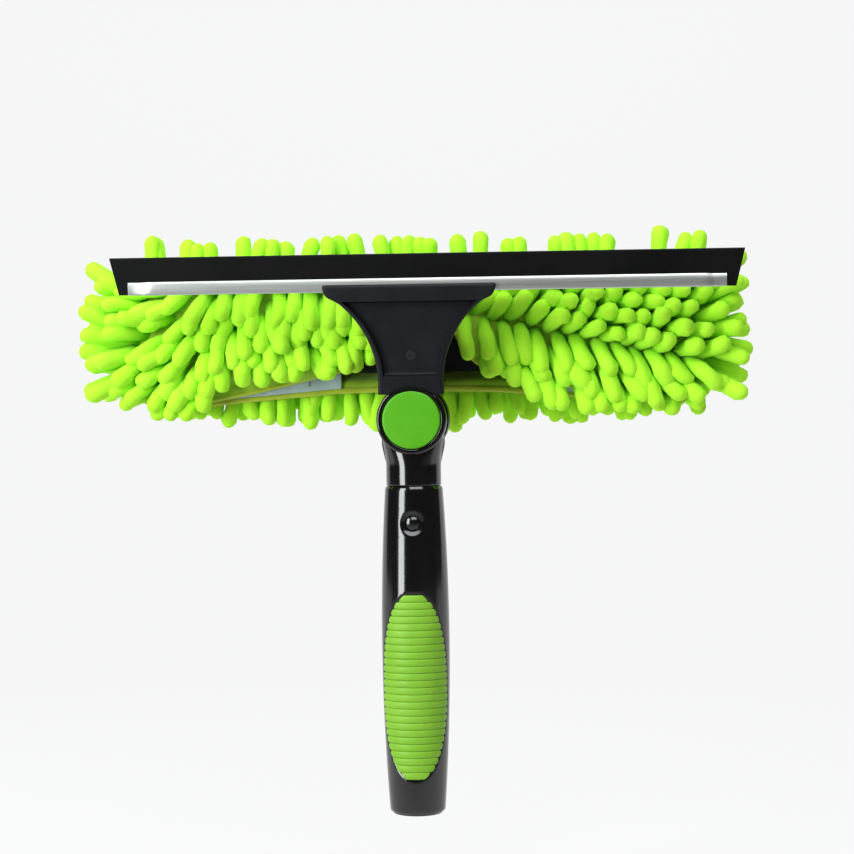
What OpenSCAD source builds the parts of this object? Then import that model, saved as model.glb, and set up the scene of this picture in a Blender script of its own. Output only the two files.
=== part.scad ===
// Window cleaner: a squeegee in front of a scrubber bar, on one swivel handle.
// X runs along the blade, -Y is the front, +Z runs up the handle.
// The origin is the centre of the pole socket's mouth, at the handle's lower end.

/* [Handle] */
// Length of the handle shell, from the pole socket's mouth to the seam
handle_len = 157.2; // [131:0.1:220]
// Largest radius of the handle, at its belly
belly_r = 16.3; // [15.4:0.1:19.6]
// Height of the belly above the lower end
belly_z = 83.3; // [65:0.1:105]
// Radius of the handle at its lower end
handle_end_r = 13.2; // [13:0.1:15]
// Radius of the handle at the seam
handle_top_r = 13.8; // [12.7:0.1:15]
// Radius of the socket that takes an extension pole
pole_socket_r = 11; // [9.2:0.1:11]
// Depth of the pole socket
pole_socket_depth = 60; // [40:1:62]
// Radius of the socket that holds the neck
neck_socket_r = 10.6; // [8.8:0.1:11.2]
// Distance from the seam down to the snap pin
snap_drop = 17.4; // [14.5:0.1:20.9]

/* [Grip inlays] */
// Height of an inlay
grip_h = 88; // [70:1:96]
// Height of the inlays' centre above the lower end
grip_z = 62; // [52:0.5:75]
// Width of an inlay, measured straight across
grip_w = 29; // [22:0.5:30]
// Thickness of an inlay
grip_t = 2; // [1.6:0.1:2.4]
// How far an inlay stands proud of the shell
grip_proud = 0.8; // [0.4:0.1:1]

/* [Neck and hub] */
// Height of the swivel axis above the seam
neck_rise = 31.8; // [29:0.1:45]
// Radius of the round hub
hub_r = 16.7; // [15.5:0.1:20.1]
// How much smaller the push button is than the hub, in radius
button_inset = 2.8; // [2.4:0.1:3.8]
// How far the button pushes the lock gear
press_travel = 3; // [2.9:0.1:3.1]
// Teeth of the lock, which set the pitch of the swivel
teeth = 24; // [24, 48]

/* [Squeegee] */
// Forward lean of the squeegee
lean = 8; // [6:0.5:9]
// Length of the blade at its wiping edge
blade_len = 300; // [230:1:400]
// Sideways offset of the blade in the jaw
blade_offset = 7.5; // [-10:0.5:10]
// Height of the wiping edge above the swivel axis, along the leaning bracket
blade_rise = 80.2; // [77:0.1:90]
// Width of the jaw that holds the channel
jaw_w = 82; // [76:1:86]
// Width of the bracket's waist
waist_w = 31; // [25.8:0.1:34]

/* [Scrubber] */
// Length of the scrubber bar
bar_len = 280; // [210:1:380]
// Height of the scrubber bar
bar_h = 44; // [36:0.5:53]
// Thickness of the scrubber bar
bar_t = 10; // [8:0.5:13]
// Thickness of the sleeve's cloth
cloth_t = 2; // [1.5:0.1:2.4]
// Length of the sleeve's soft fingers
finger_len = 22; // [18:0.5:26]

/* [Hidden] */
$fn = 96;
eps = 0.01;

// Handle: the wall swells from both ends to the belly
wall_steps = 20;
core_r = min(pole_socket_r, neck_socket_r) - 1.6;
rim_round = 1.8;
seam_gap = 0.2;

// Grip inlays
grip_sides = 60;

// Neck: a hollow stub inside the handle, and a stem above the seam
neck_stub_r = neck_socket_r - 0.1;
neck_stub_in = neck_stub_r - 2.5;
neck_stub_len = 42;
neck_socket_depth = neck_stub_len + 3;
neck_r = handle_top_r - 0.6;

// Snap pin and its leaf spring: both fit the stub's inside
snap_z = handle_len - snap_drop;
snap_r = 3.6;
snap_flange_r = 4.8;
snap_flange_y = -chord(neck_stub_in - 0.15, snap_flange_r);
snap_flange_t = 1;
snap_dome = 1.2;
leaf_t = 0.6;
leaf_w = 7;
leaf_len = 18;
leaf_back = chord(neck_stub_in - 0.15, leaf_w / 2);

// Hub: the neck's half lies at -Y, the scrubber frame's half at +Y
hub_z = handle_len + neck_rise;
hub_front = -13;
hub_back = 14.5;
hub_split = 0.3;
hub_edge = 1.2;
floor_front = -8.5;
floor_back = -6.5;
post_r = 4;
post_end = 10.7;
frame_hub_r = hub_r + 0.5;
sweep_r = frame_hub_r + 0.8;

// Push button and its three legs
button_r = hub_r - button_inset;
button_front = hub_front - 0.8;
button_t = 2.1;
button_edge = 0.6;
leg_r = 1.5;
leg_ring = 7.6;
leg_angles = [90, 210, 330];

// Lock gear: half in the neck's recess and half in the frame's
gear_half = 2.6;
gear_tip = 11.8;
gear_root = 10.5;
gear_bore = 4.3;
gear_play = 0.2;
frame_floor = 8;
frame_floor_t = 2.5;
coil_r = 5.6;
coil_wire = 0.4;
coil_turns = 4;
coil_steps = 18;
coil_sides = 6;

// Pivot screw, washer and hub cap
pivot_r = 1.5;
washer_t = 1;
cap_r = 9.25;
cap_t = 1.1;

// Squeegee: heights run along the leaning bracket, from the swivel axis
channel_top = blade_rise - 11.4;
channel_bottom = channel_top - 6.4;
channel_front = -8.8;
channel_back = -2.8;
channel_wall = 0.9;
channel_len = blade_len - 17;
crimp_len = 7;
crimp_depth = 0.5;
rubber_y = (channel_front + channel_back) / 2;
rubber_t = 3;
rubber_end_slope = 4;
jaw_top = channel_top - 2.7;
jaw_bottom = jaw_top - 6.5;
jaw_back = -0.8;
jaw_slope = 2.5;
bracket_front = -11.5;
bracket_back = -4;
bracket_foot = 13;
bracket_gap_r = hub_r + 1;
waist_z = hub_r + 2.5;
waist_arc_r = 49.3;
rim_w = 2.6;
pocket_floor = -8;
pocket_bottom = bracket_gap_r + 4.3;
tongue_top = jaw_bottom - 2.6;
bracket_screw_z = 32.1;
bracket_screw_r = 1.3;

// Scrubber: the bar stands behind the neck, and the sleeve wraps round it
bar_front = 31;
bar_back = bar_front + bar_t;
bar_bottom = hub_z + 23;
bar_top = bar_bottom + bar_h;
bar_round = 12;
bar_cells = 8;
bar_margin = 8;
bar_rib = 2.4;
bar_rim = 3.4;
bar_skin = 2.6;
arm_w = waist_w - 1.6;
sleeve_gap = 0.4;
sleeve_skin = sleeve_gap + cloth_t;
sleeve_front = bar_front - sleeve_skin;
sleeve_back = bar_back + sleeve_skin;
sleeve_bottom = bar_bottom - sleeve_skin;
sleeve_top = bar_top + sleeve_skin;
sleeve_half = bar_len / 2 + sleeve_skin;

// Flaps: both hang below the bar and close on a pair of tapes
tape_t = 0.8;
flap_y = bar_front + 3.2;
flap_low = hub_z + 5.5;
flap_half = sleeve_half - 3;
flap_gap_half = 51;
binding_w = 1.6;

// Pile: it stays behind the swing plane low down, where the handle swings past
pile_half = sleeve_half + finger_len;
pile_front = sleeve_front - 0.93 * finger_len;
pile_rear = sleeve_back + finger_len;
pile_mid = (sleeve_front + sleeve_back) / 2;
pile_top = sleeve_top + finger_len;
pile_bottom = sleeve_bottom - finger_len - 1;
pile_seam = 0.1;
swing_plane = belly_r + grip_proud + 1.1;

// Radius of the handle's outer wall at a height: it falls off as a parabola each way from the belly
function outer_r(z) =
    z < belly_z
    ? belly_r - (belly_r - handle_end_r) * pow((belly_z - z) / belly_z, 2)
    : belly_r - (belly_r - handle_top_r) * pow((z - belly_z) / (handle_len - belly_z), 2);

// Distance from a circle's centre to a chord of half length half_w
function chord(r, half_w) = sqrt(pow(r, 2) - pow(half_w, 2));

// ---- Helpers ----

// A solid in the squeegee's own frame, which leans forward about the swivel axis
module leaning() {
    translate([0, 0, hub_z]) rotate([lean, 0, 0]) children();
}

// A cylinder along Y from y0 to y1, at a point in X and Z
module rod_y(r, y0, y1, z, x = 0) {
    translate([x, y0, z]) rotate([-90, 0, 0]) cylinder(r = r, h = y1 - y0);
}

// A 2D outline in X and Z, as a slab from y0 to y1
module slab(y0, y1) {
    translate([0, y1, 0]) rotate([90, 0, 0]) linear_extrude(y1 - y0) children();
}

// A 2D outline in Y and Z, as a bar from x0 to x1
module bar_along_x(x0, x1) {
    translate([x0, 0, 0]) rotate([90, 0, 90]) linear_extrude(x1 - x0) children();
}

// A half section of radius and depth, turned round a line along -Y at height z
module turned_front(z) {
    translate([0, 0, z]) rotate([90, 0, 0]) rotate_extrude() children();
}

// A rectangle with round corners, centred on x = 0
module round_rect(half_w, z0, z1, r) {
    translate([-half_w + r, z0]) square([2 * (half_w - r), z1 - z0]);
    translate([-half_w, z0 + r]) square([2 * half_w, z1 - z0 - 2 * r]);
    for (x = [-half_w + r, half_w - r], z = [z0 + r, z1 - r])
        translate([x, z]) circle(r);
}

// ---- Handle ----

// Half section of the handle's outer wall, grown by d
module wall_section(d = 0) {
    wall = [for (i = [0:wall_steps])
        let (z = handle_len * i / wall_steps)
            [outer_r(z) + d, z]];
    polygon(concat(wall, [[0, handle_len], [0, 0]]));
}

// The corner that rounds the handle's lower rim
module lower_rim_corner() {
    centre = handle_end_r - rim_round;
    difference() {
        translate([centre, -1]) square([rim_round + 1, rim_round + 1]);
        translate([centre, rim_round]) circle(rim_round);
    }
}

module handle_tube() {
    rotate_extrude()
        difference() {
            wall_section();
            translate([-1, -1]) square([core_r + 1, handle_len + 2]);
            translate([-1, -1]) square([pole_socket_r + 1, pole_socket_depth + 1]);
            translate([-1, handle_len - neck_socket_depth])
                square([neck_socket_r + 1, neck_socket_depth + 1]);
            lower_rim_corner();
        }
}

// Hole for the snap pin, with a dished mouth
module snap_hole() {
    mouth_y = -outer_r(snap_z);
    rod_y(snap_r + 0.3, mouth_y - 2, 0, snap_z);
    turned_front(snap_z)
        polygon([[0, -mouth_y - 1.4], [snap_r + 0.3, -mouth_y - 1.4],
            [snap_r + 1.7, -mouth_y + 1], [0, -mouth_y + 1]]);
}

// Half an upright ellipse's prism, which cuts an inlay and its bed
module grip_cutter() {
    slab(-belly_r - 5, -4)
        translate([0, grip_z])
            polygon([for (i = [0:grip_sides - 1])
                [grip_w * cos(i * 360 / grip_sides), grip_h * sin(i * 360 / grip_sides)] / 2]);
}

// An inlay whose face is proud of the wall by d
module grip_inlay(d = grip_proud) {
    intersection() {
        grip_cutter();
        difference() {
            rotate_extrude() wall_section(d);
            rotate_extrude() wall_section(grip_proud - grip_t);
        }
    }
}

module handle_shell() {
    color([0.05, 0.05, 0.055])
        difference() {
            handle_tube();
            for (side = [0, 1])
                mirror([0, side, 0]) grip_inlay(1);
            snap_hole();
        }
}

module grip_front() {
    color([0.42, 0.7, 0.2]) grip_inlay();
}

module grip_back() {
    color([0.42, 0.7, 0.2]) mirror([0, 1, 0]) grip_inlay();
}

// ---- Neck ----

// Stub inside the handle, shoulder on the seam and stem up to the hub
module neck_stem() {
    shoulder = handle_len + seam_gap;
    stub_low = handle_len - neck_stub_len;
    rotate_extrude()
        polygon([
            [neck_stub_in, stub_low], [neck_stub_r, stub_low], [neck_stub_r, shoulder],
            [neck_r, shoulder], [neck_r, hub_z], [0, hub_z], [0, shoulder + 3],
            [neck_stub_in, shoulder + 3]]);
}

// Round hub with a soft front edge
module hub_disc() {
    front = -hub_front;
    turned_front(hub_z) {
        translate([0, hub_split]) square([hub_r, front - hub_split - hub_edge]);
        translate([0, hub_split]) square([hub_r - hub_edge, front - hub_split]);
        translate([hub_r - hub_edge, front - hub_edge]) circle(hub_edge);
    }
}

// The stem and hub, cleared for the button, the lock gear and the frame's hub
module neck_shell() {
    difference() {
        union() {
            neck_stem();
            hub_disc();
        }
        rod_y(sweep_r, -hub_split, belly_r + 5, hub_z);
        rod_y(button_r + 0.3, hub_front - 5, floor_front, hub_z);
        tooth_recess(floor_back, 0);
    }
}

module neck() {
    color([0.07, 0.07, 0.075])
        difference() {
            union() {
                neck_shell();
                rod_y(post_r, floor_back - 0.5, post_end, hub_z);
            }
            button_legs(floor_front - 1, floor_back + 1, leg_r + 0.1);
            rod_y(pivot_r, 1, post_end + 1, hub_z);
            rod_y(snap_r + 0.1, -neck_r - 1, 0, snap_z);
        }
}

// ---- Snap pin and its leaf spring ----

module snap_pin() {
    tip = outer_r(snap_z) - 0.6;
    dome_r = (pow(snap_r, 2) + pow(snap_dome, 2)) / (2 * snap_dome);
    flange = -snap_flange_y;
    color([0.12, 0.12, 0.13])
        turned_front(snap_z) {
            translate([0, flange - snap_flange_t]) square([snap_flange_r, snap_flange_t]);
            intersection() {
                translate([0, flange - snap_flange_t]) square([snap_r, tip]);
                translate([0, tip - dome_r]) circle(dome_r);
            }
        }
}

// A U of spring leaf: one arm on the pin's flange, one on the stub's wall
module snap_spring() {
    front = snap_flange_y + snap_flange_t + 0.05;
    bend_r = (leaf_back - front) / 2;
    bend_y = front + bend_r;
    bend_z = snap_z - leaf_len;
    color([0.75, 0.76, 0.78])
        bar_along_x(-leaf_w / 2, leaf_w / 2) {
            translate([front, bend_z]) square([leaf_t, leaf_len + snap_flange_r]);
            translate([leaf_back - leaf_t, bend_z]) square([leaf_t, leaf_len + snap_flange_r]);
            difference() {
                translate([bend_y, bend_z]) circle(bend_r);
                translate([bend_y, bend_z]) circle(bend_r - leaf_t);
                translate([bend_y - bend_r, bend_z]) square(2 * bend_r);
            }
        }
}

// ---- Push button and swivel lock ----

// Three legs round the swivel axis, from y0 to y1
module button_legs(y0, y1, r = leg_r) {
    for (a = leg_angles)
        rod_y(r, y0, y1, hub_z + leg_ring * sin(a), leg_ring * cos(a));
}

module lock_button() {
    front = -button_front;
    color([0.36, 0.72, 0.16]) {
        turned_front(hub_z) {
            translate([0, front - button_t]) square([button_r, button_t - button_edge]);
            translate([0, front - button_t]) square([button_r - button_edge, button_t]);
            translate([button_r - button_edge, front - button_edge]) circle(button_edge);
        }
        button_legs(button_front + button_t - 0.5, -gear_half - 0.05);
    }
}

// Tooth outline of the lock; play widens it into the recess that takes it
module tooth_outline(play = 0) {
    pitch = 360 / teeth;
    wide = 0.32 * pitch + 3 * play;
    slim = 0.18 * pitch + 3 * play;
    root = gear_root + play;
    tip = gear_tip + play;
    polygon([
        for (i = [0:teeth - 1], p = [[root, -wide], [tip, -slim], [tip, slim], [root, wide]])
            p[0] * [cos(i * pitch + p[1]), sin(i * pitch + p[1])]
    ]);
}

// Toothed recess for the lock gear, from y0 to y1
module tooth_recess(y0, y1) {
    translate([0, 0, hub_z]) slab(y0, y1) tooth_outline(gear_play);
}

module lock_gear() {
    color([0.8, 0.8, 0.76])
        difference() {
            translate([0, 0, hub_z]) slab(-gear_half, gear_half) tooth_outline();
            rod_y(gear_bore, -gear_half - 1, gear_half + 1, hub_z);
        }
}

// Point i round section k of the lock spring's wire
function coil_point(k, i) =
    let (
        turn = 360 * k / coil_steps,
        around = 360 * i / coil_sides,
        rise = (frame_floor - gear_half - 2 * coil_wire - 0.1) * k / (coil_turns * coil_steps),
        r = coil_r + coil_wire * cos(around)
    )
    [r * cos(turn), gear_half + 0.05 + coil_wire + rise + coil_wire * sin(around), r * sin(turn)];

module lock_spring() {
    sections = coil_turns * coil_steps;
    points = [for (k = [0:sections], i = [0:coil_sides - 1]) coil_point(k, i)];
    sides = [for (k = [0:sections - 1], i = [0:coil_sides - 1])
        let (a = k * coil_sides, b = a + coil_sides, j = (i + 1) % coil_sides)
            [a + i, b + i, b + j, a + j]];
    first = [for (i = [0:coil_sides - 1]) i];
    last = [for (i = [coil_sides - 1:-1:0]) sections * coil_sides + i];
    color([0.75, 0.76, 0.78])
        translate([0, 0, hub_z]) polyhedron(points, concat(sides, [first, last]));
}

// ---- Pivot ----

module pivot_washer() {
    color([0.75, 0.76, 0.78])
        difference() {
            rod_y(7, post_end, post_end + washer_t, hub_z);
            rod_y(pivot_r + 0.1, post_end - 1, post_end + washer_t + 1, hub_z);
        }
}

// Pan-head screw with a cross recess
module pivot_screw() {
    head = post_end + washer_t;
    color([0.7, 0.71, 0.73])
        difference() {
            union() {
                rod_y(pivot_r, 1.5, head + 0.5, hub_z);
                rod_y(3.4, head, head + 1.5, hub_z);
            }
            for (a = [0, 90])
                translate([0, head + 1.2, hub_z]) rotate([0, a, 0]) cube([3.6, 1.2, 0.8], center = true);
        }
}

module hub_cap() {
    color([0.07, 0.07, 0.075]) rod_y(cap_r, hub_back - cap_t, hub_back, hub_z);
}

// ---- Scrubber frame ----

// Outline that narrows to a waist between two large arcs, inset by d
module waist_outline(z0, z1, half_w, d = 0) {
    difference() {
        translate([-half_w, z0]) square([2 * half_w, z1 - z0]);
        for (side = [-1, 1])
            translate([side * (waist_w / 2 + waist_arc_r), waist_z]) circle(waist_arc_r + d);
    }
}

// Tongue that the squeegee bracket is screwed to
module frame_tongue() {
    low = bracket_gap_r + 0.3;
    leaning()
        difference() {
            slab(bracket_back, 0.5) waist_outline(low, tongue_top, 24, 0.8);
            rod_y(bracket_screw_r, bracket_back - 1, 0, bracket_screw_z);
        }
}

// Arm from the hub, back and up to the bar
module frame_arm() {
    lower_half = min(11, arm_w / 2);
    translate([0, 0, hub_z]) {
        bar_along_x(-arm_w / 2, arm_w / 2)
            polygon([[-3, bracket_gap_r + 0.6], [-5, 36], [bar_front + 1, 48],
                [bar_front + 1, 24.4], [bar_front, 23.6], [23, bracket_gap_r + 0.05],
                [0, bracket_gap_r + 0.05]]);
        bar_along_x(-lower_half, lower_half)
            polygon([[hub_split - 0.1, 10.5], [hub_split - 0.1, 20], [24, 20], [hub_back, 10.5]]);
    }
}

// The bar, with a row of pockets in its back that leave ribs between them
module frame_bar() {
    cell = (bar_len - 2 * bar_margin + bar_rib) / bar_cells;
    difference() {
        slab(bar_front, bar_back) round_rect(bar_len / 2, bar_bottom, bar_top, bar_round);
        for (i = [0:bar_cells - 1])
            translate([-bar_len / 2 + bar_margin + i * cell, bar_front + bar_skin, bar_bottom + bar_rim])
                cube([cell - bar_rib, bar_t, bar_h - 2 * bar_rim]);
    }
}

module scrubber_frame() {
    color([0.06, 0.06, 0.065])
        difference() {
            union() {
                rod_y(frame_hub_r, hub_split - 0.1, hub_back, hub_z);
                frame_tongue();
                frame_arm();
                frame_bar();
            }
            tooth_recess(-1, frame_floor);
            rod_y(post_r + 0.08, 0, hub_back, hub_z);
            rod_y(cap_r, frame_floor + frame_floor_t, hub_back + 1, hub_z);
            leaning() rod_y(bracket_screw_r, bracket_back - 1, 4, bracket_screw_z);
        }
}

// ---- Squeegee ----

// Outline of the bracket, from its foot beside the hub up to the jaw
module bracket_outline(z0) {
    half = jaw_w / 2;
    difference() {
        polygon([[-half + jaw_slope, z0], [half - jaw_slope, z0],
            [half - jaw_slope, jaw_bottom], [half, jaw_top - 1.5], [half - 1.5, jaw_top],
            [-half + 1.5, jaw_top], [-half, jaw_top - 1.5], [-half + jaw_slope, jaw_bottom]]);
        for (side = [-1, 1])
            translate([side * (waist_w / 2 + waist_arc_r), waist_z]) circle(waist_arc_r);
    }
}

// Countersunk hole for the bracket's screw
module bracket_screw_hole() {
    turned = -pocket_floor;
    rod_y(bracket_screw_r + 0.1, pocket_floor - 1, bracket_back + 1, bracket_screw_z);
    turned_front(bracket_screw_z)
        polygon([[0, turned - 1.3], [bracket_screw_r + 0.1, turned - 1.3], [2.7, turned],
            [2.7, turned + 1], [0, turned + 1]]);
}

module squeegee_bracket() {
    color([0.15, 0.16, 0.18])
        difference() {
            leaning()
                difference() {
                    union() {
                        slab(bracket_front, bracket_back) bracket_outline(bracket_foot);
                        slab(bracket_front, jaw_back) bracket_outline(tongue_top + 0.2);
                    }
                    slab(bracket_front - 1, pocket_floor)
                        waist_outline(pocket_bottom, jaw_bottom - 1.4, jaw_w / 2, rim_w);
                    bar_along_x(-jaw_w, jaw_w)
                        translate([channel_front, channel_bottom])
                            square([channel_back - channel_front, jaw_top]);
                    bracket_screw_hole();
                }
            rod_y(bracket_gap_r, hub_front - 10, 10, hub_z);
        }
}

// Countersunk screw that holds the bracket on the frame's tongue
module bracket_screw() {
    head = -pocket_floor - 0.1;
    color([0.72, 0.73, 0.75])
        leaning()
            difference() {
                turned_front(bracket_screw_z)
                    polygon([[0, -bracket_back - 7], [bracket_screw_r, -bracket_back - 7],
                        [bracket_screw_r, head - 1.2], [2.5, head], [0, head]]);
                for (a = [0, 90])
                    translate([0, -head, bracket_screw_z]) rotate([0, a, 0])
                        cube([2.8, 1, 0.6], center = true);
            }
}

// Section of the channel: a box with a slot in its top for the rubber
module channel_section() {
    depth = channel_back - channel_front;
    height = channel_top - channel_bottom;
    slot = 2.6;
    translate([channel_front, channel_bottom])
        difference() {
            square([depth, height]);
            translate([channel_wall, channel_wall])
                square([depth - 2 * channel_wall, height - 2 * channel_wall]);
            translate([(depth - slot) / 2, channel_wall]) square([slot, height]);
            polygon([[-1, height - 1.2], [0, height - 1.2], [0.9, height], [0.9, height + 1],
                [-1, height + 1]]);
        }
}

module channel() {
    half = channel_len / 2;
    color([0.75, 0.76, 0.76])
        leaning()
            translate([blade_offset, 0, 0])
                difference() {
                    bar_along_x(-half, half) channel_section();
                    for (side = [0, 1])
                        mirror([side, 0, 0])
                            translate([half - crimp_len, channel_front - 1, channel_bottom - 1])
                                cube([crimp_len + 1, crimp_depth + 1, 20]);
                }
}

// Section of the rubber: bead in the channel, neck in its slot, blade above
module rubber_section() {
    bead_h = channel_top - channel_bottom - 2 * channel_wall - 0.4;
    translate([rubber_y, 0]) {
        translate([-1.9, channel_bottom + channel_wall + 0.2]) square([3.8, bead_h]);
        translate([-1.2, channel_bottom + channel_wall + 0.2])
            square([2.4, channel_top - channel_bottom]);
        polygon([[-rubber_t / 2, channel_top + 0.1], [rubber_t / 2, channel_top + 0.1],
            [rubber_t / 2, channel_top + 6], [rubber_t / 2 - 0.6, blade_rise],
            [-rubber_t / 2 + 0.6, blade_rise], [-rubber_t / 2, channel_top + 6]]);
    }
}

module squeegee_rubber() {
    half = blade_len / 2;
    color([0.1, 0.1, 0.1])
        leaning()
            translate([blade_offset, 0, 0])
                intersection() {
                    bar_along_x(-half, half) rubber_section();
                    slab(channel_front - 1, channel_back + 1)
                        polygon([[-half, blade_rise], [half, blade_rise],
                            [half - rubber_end_slope, channel_bottom],
                            [-half + rubber_end_slope, channel_bottom]]);
                }
}

// ---- Sleeve ----

// V-shaped mouth in the sleeve's front, where the frame's arm goes in
module sleeve_mouth() {
    translate([0, hub_z])
        polygon([[-flap_gap_half, 12], [-flap_gap_half, 21], [-30, 27], [-21, 38], [-16, 52],
            [16, 52], [21, 39], [37, 26], [flap_gap_half, 21], [flap_gap_half, 12]]);
}

// Lower edge of a flap, from its outer corner in to x1 at height z1
module flap_outline(x1, z1) {
    polygon([[flap_half, sleeve_bottom + 0.2], [flap_half - 6, flap_low + 4],
        [flap_half - 13, flap_low], [x1, z1], [x1, sleeve_bottom + 0.2]]);
}

module sleeve_tube() {
    difference() {
        slab(sleeve_front, sleeve_back)
            round_rect(sleeve_half, sleeve_bottom, sleeve_top, bar_round + sleeve_skin);
        slab(bar_front - sleeve_gap, bar_back + sleeve_gap)
            round_rect(bar_len / 2 + sleeve_gap, bar_bottom - sleeve_gap, bar_top + sleeve_gap,
                bar_round + sleeve_gap);
        slab(0, bar_front + 1) sleeve_mouth();
    }
}

module sleeve_cloth() {
    back_flap = flap_y + tape_t;
    front_flap = flap_y - tape_t;
    color([0.56, 0.75, 0.1]) {
        sleeve_tube();
        for (side = [0, 1])
            mirror([side, 0, 0]) {
                slab(front_flap - cloth_t, front_flap)
                    flap_outline(flap_gap_half, sleeve_bottom - eps);
                slab(back_flap, back_flap + cloth_t) flap_outline(-eps, hub_z + 14.5);
            }
    }
}

// A closing tape along a flap, from y0 to y1
module tape_strips(y0, y1) {
    inner = flap_gap_half + 4;
    outer = flap_half - 13;
    for (side = [0, 1])
        mirror([side, 0, 0])
            slab(y0, y1)
                polygon([[inner, sleeve_bottom - 0.2], [outer, sleeve_bottom - 0.2],
                    [outer, flap_low + 1.5], [inner + 6, sleeve_bottom - 4]]);
}

module hook_tape() {
    color([0.7, 0.76, 0.78]) tape_strips(flap_y - tape_t, flap_y);
}

module loop_tape() {
    color([0.66, 0.72, 0.74]) tape_strips(flap_y, flap_y + tape_t);
}

// Narrow binding sewn on the front flap's lower edge
module sleeve_binding() {
    inner = flap_gap_half;
    outer = flap_half - 13;
    color([0.75, 0.87, 0.1])
        for (side = [0, 1])
            mirror([side, 0, 0])
                slab(flap_y - tape_t - cloth_t - 0.6, flap_y - tape_t)
                    polygon([[inner, sleeve_bottom - 2 * eps], [outer, flap_low - eps],
                        [outer, flap_low - binding_w], [inner, sleeve_bottom - binding_w]]);
}

// Section of the pile in front of the cloth
module pile_front_section() {
    inner = flap_y - tape_t - cloth_t - 0.8;
    polygon([
        [sleeve_front, sleeve_bottom], [sleeve_front, sleeve_top],
        [pile_mid - pile_seam, sleeve_top], [pile_mid - pile_seam, pile_top],
        [sleeve_front - 8, pile_top - 2], [pile_front, pile_top - 14],
        [pile_front, hub_z + swing_plane + 0.6], [swing_plane, hub_z + swing_plane - 0.2],
        [swing_plane + 1.5, pile_bottom + 6], [inner - 2, pile_bottom],
        [inner, pile_bottom], [inner, sleeve_bottom]]);
}

// Section of the pile behind the cloth
module pile_back_section() {
    inner = flap_y + tape_t + cloth_t + 0.2;
    polygon([
        [sleeve_back, sleeve_bottom], [sleeve_back, sleeve_top],
        [pile_mid + pile_seam, sleeve_top], [pile_mid + pile_seam, pile_top],
        [sleeve_back + 8, pile_top - 2], [pile_rear, pile_top - 14],
        [pile_rear, sleeve_bottom + 2], [pile_rear - 9, pile_bottom + 3],
        [inner + 2, pile_bottom], [inner, pile_bottom], [inner, sleeve_bottom]]);
}

// Section of the pile past the sleeve's closed end
module pile_end_section() {
    polygon([
        [pile_front + 4, pile_top - 20], [sleeve_front - 6, pile_top - 6],
        [sleeve_back + 6, pile_top - 6], [pile_rear - 4, pile_top - 20],
        [pile_rear - 4, pile_bottom + 20], [sleeve_back + 6, pile_bottom + 4],
        [swing_plane + 4, pile_bottom + 4], [swing_plane, hub_z + swing_plane - 0.2],
        [pile_front + 4, hub_z + swing_plane + 0.6]]);
}

// The front pile on the +X side, with the end's pile
module pile_front_half() {
    intersection() {
        difference() {
            bar_along_x(pile_seam, sleeve_half) pile_front_section();
            slab(0, sleeve_front + 5) sleeve_mouth();
            slab(0, sleeve_front + 5)
                translate([0, pile_bottom - 1]) square([flap_gap_half, hub_z + 14 - pile_bottom]);
        }
        slab(0, pile_rear) round_rect(pile_half, pile_bottom, pile_top, 20);
    }
    bar_along_x(sleeve_half, pile_half) pile_end_section();
}

module pile_left() {
    color([0.6, 0.93, 0.2]) mirror([1, 0, 0]) pile_front_half();
}

module pile_right() {
    color([0.6, 0.93, 0.2]) pile_front_half();
}

module pile_back() {
    color([0.6, 0.93, 0.2]) bar_along_x(-sleeve_half, sleeve_half) pile_back_section();
}

handle_shell();
grip_front();
grip_back();
neck();
snap_pin();
snap_spring();
lock_button();
lock_gear();
lock_spring();
pivot_washer();
pivot_screw();
hub_cap();
scrubber_frame();
squeegee_bracket();
bracket_screw();
channel();
squeegee_rubber();
sleeve_cloth();
pile_left();
pile_right();
pile_back();
hook_tape();
loop_tape();
sleeve_binding();
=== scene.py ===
# %% [markdown]
# # A window squeegee with a chenille washing sleeve
# The frame of this scene is a imported CAD model: 24 pieces on five bodies, with joints.
# This file dresses that frame. Hard pieces that need soft edges and rubber ribs are built again as
# smooth grids of points, and the washing sleeve, which the CAD model only holds as plain blocks,
# becomes a real cloth with several hundred chenille fingers. Every new piece is a formula worked out
# on whole arrays, so a change of one number reshapes the piece without any clean-up by hand.
# Pieces and places are written in millimetres, and MM turns them into metres. Values in materials and
# the lamps' own sizes are in metres.

# %%
import math
import bpy
import numpy as np
from mathutils import Matrix, Vector


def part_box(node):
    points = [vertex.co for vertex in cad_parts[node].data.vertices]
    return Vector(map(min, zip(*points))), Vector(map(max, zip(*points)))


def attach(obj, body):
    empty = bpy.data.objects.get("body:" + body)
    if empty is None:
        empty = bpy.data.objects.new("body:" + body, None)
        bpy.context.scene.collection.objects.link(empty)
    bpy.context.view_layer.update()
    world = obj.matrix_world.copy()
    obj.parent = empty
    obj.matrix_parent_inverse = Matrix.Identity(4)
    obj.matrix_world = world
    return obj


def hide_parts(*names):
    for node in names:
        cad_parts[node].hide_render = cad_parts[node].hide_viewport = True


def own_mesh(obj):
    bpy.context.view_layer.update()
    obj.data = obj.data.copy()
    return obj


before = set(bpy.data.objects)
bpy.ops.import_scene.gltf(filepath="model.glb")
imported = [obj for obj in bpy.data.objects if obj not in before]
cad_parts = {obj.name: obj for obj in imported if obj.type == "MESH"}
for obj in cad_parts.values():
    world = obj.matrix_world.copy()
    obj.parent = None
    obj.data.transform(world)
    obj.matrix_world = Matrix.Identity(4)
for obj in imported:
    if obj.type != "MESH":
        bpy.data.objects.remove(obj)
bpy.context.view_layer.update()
MM = 0.001
HUB = 189.0                  # height of the swivel's axis
LEAN = math.radians(8.0)     # the squeegee leans forward by this much
HANDLE = 157.2               # length of the handle

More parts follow.
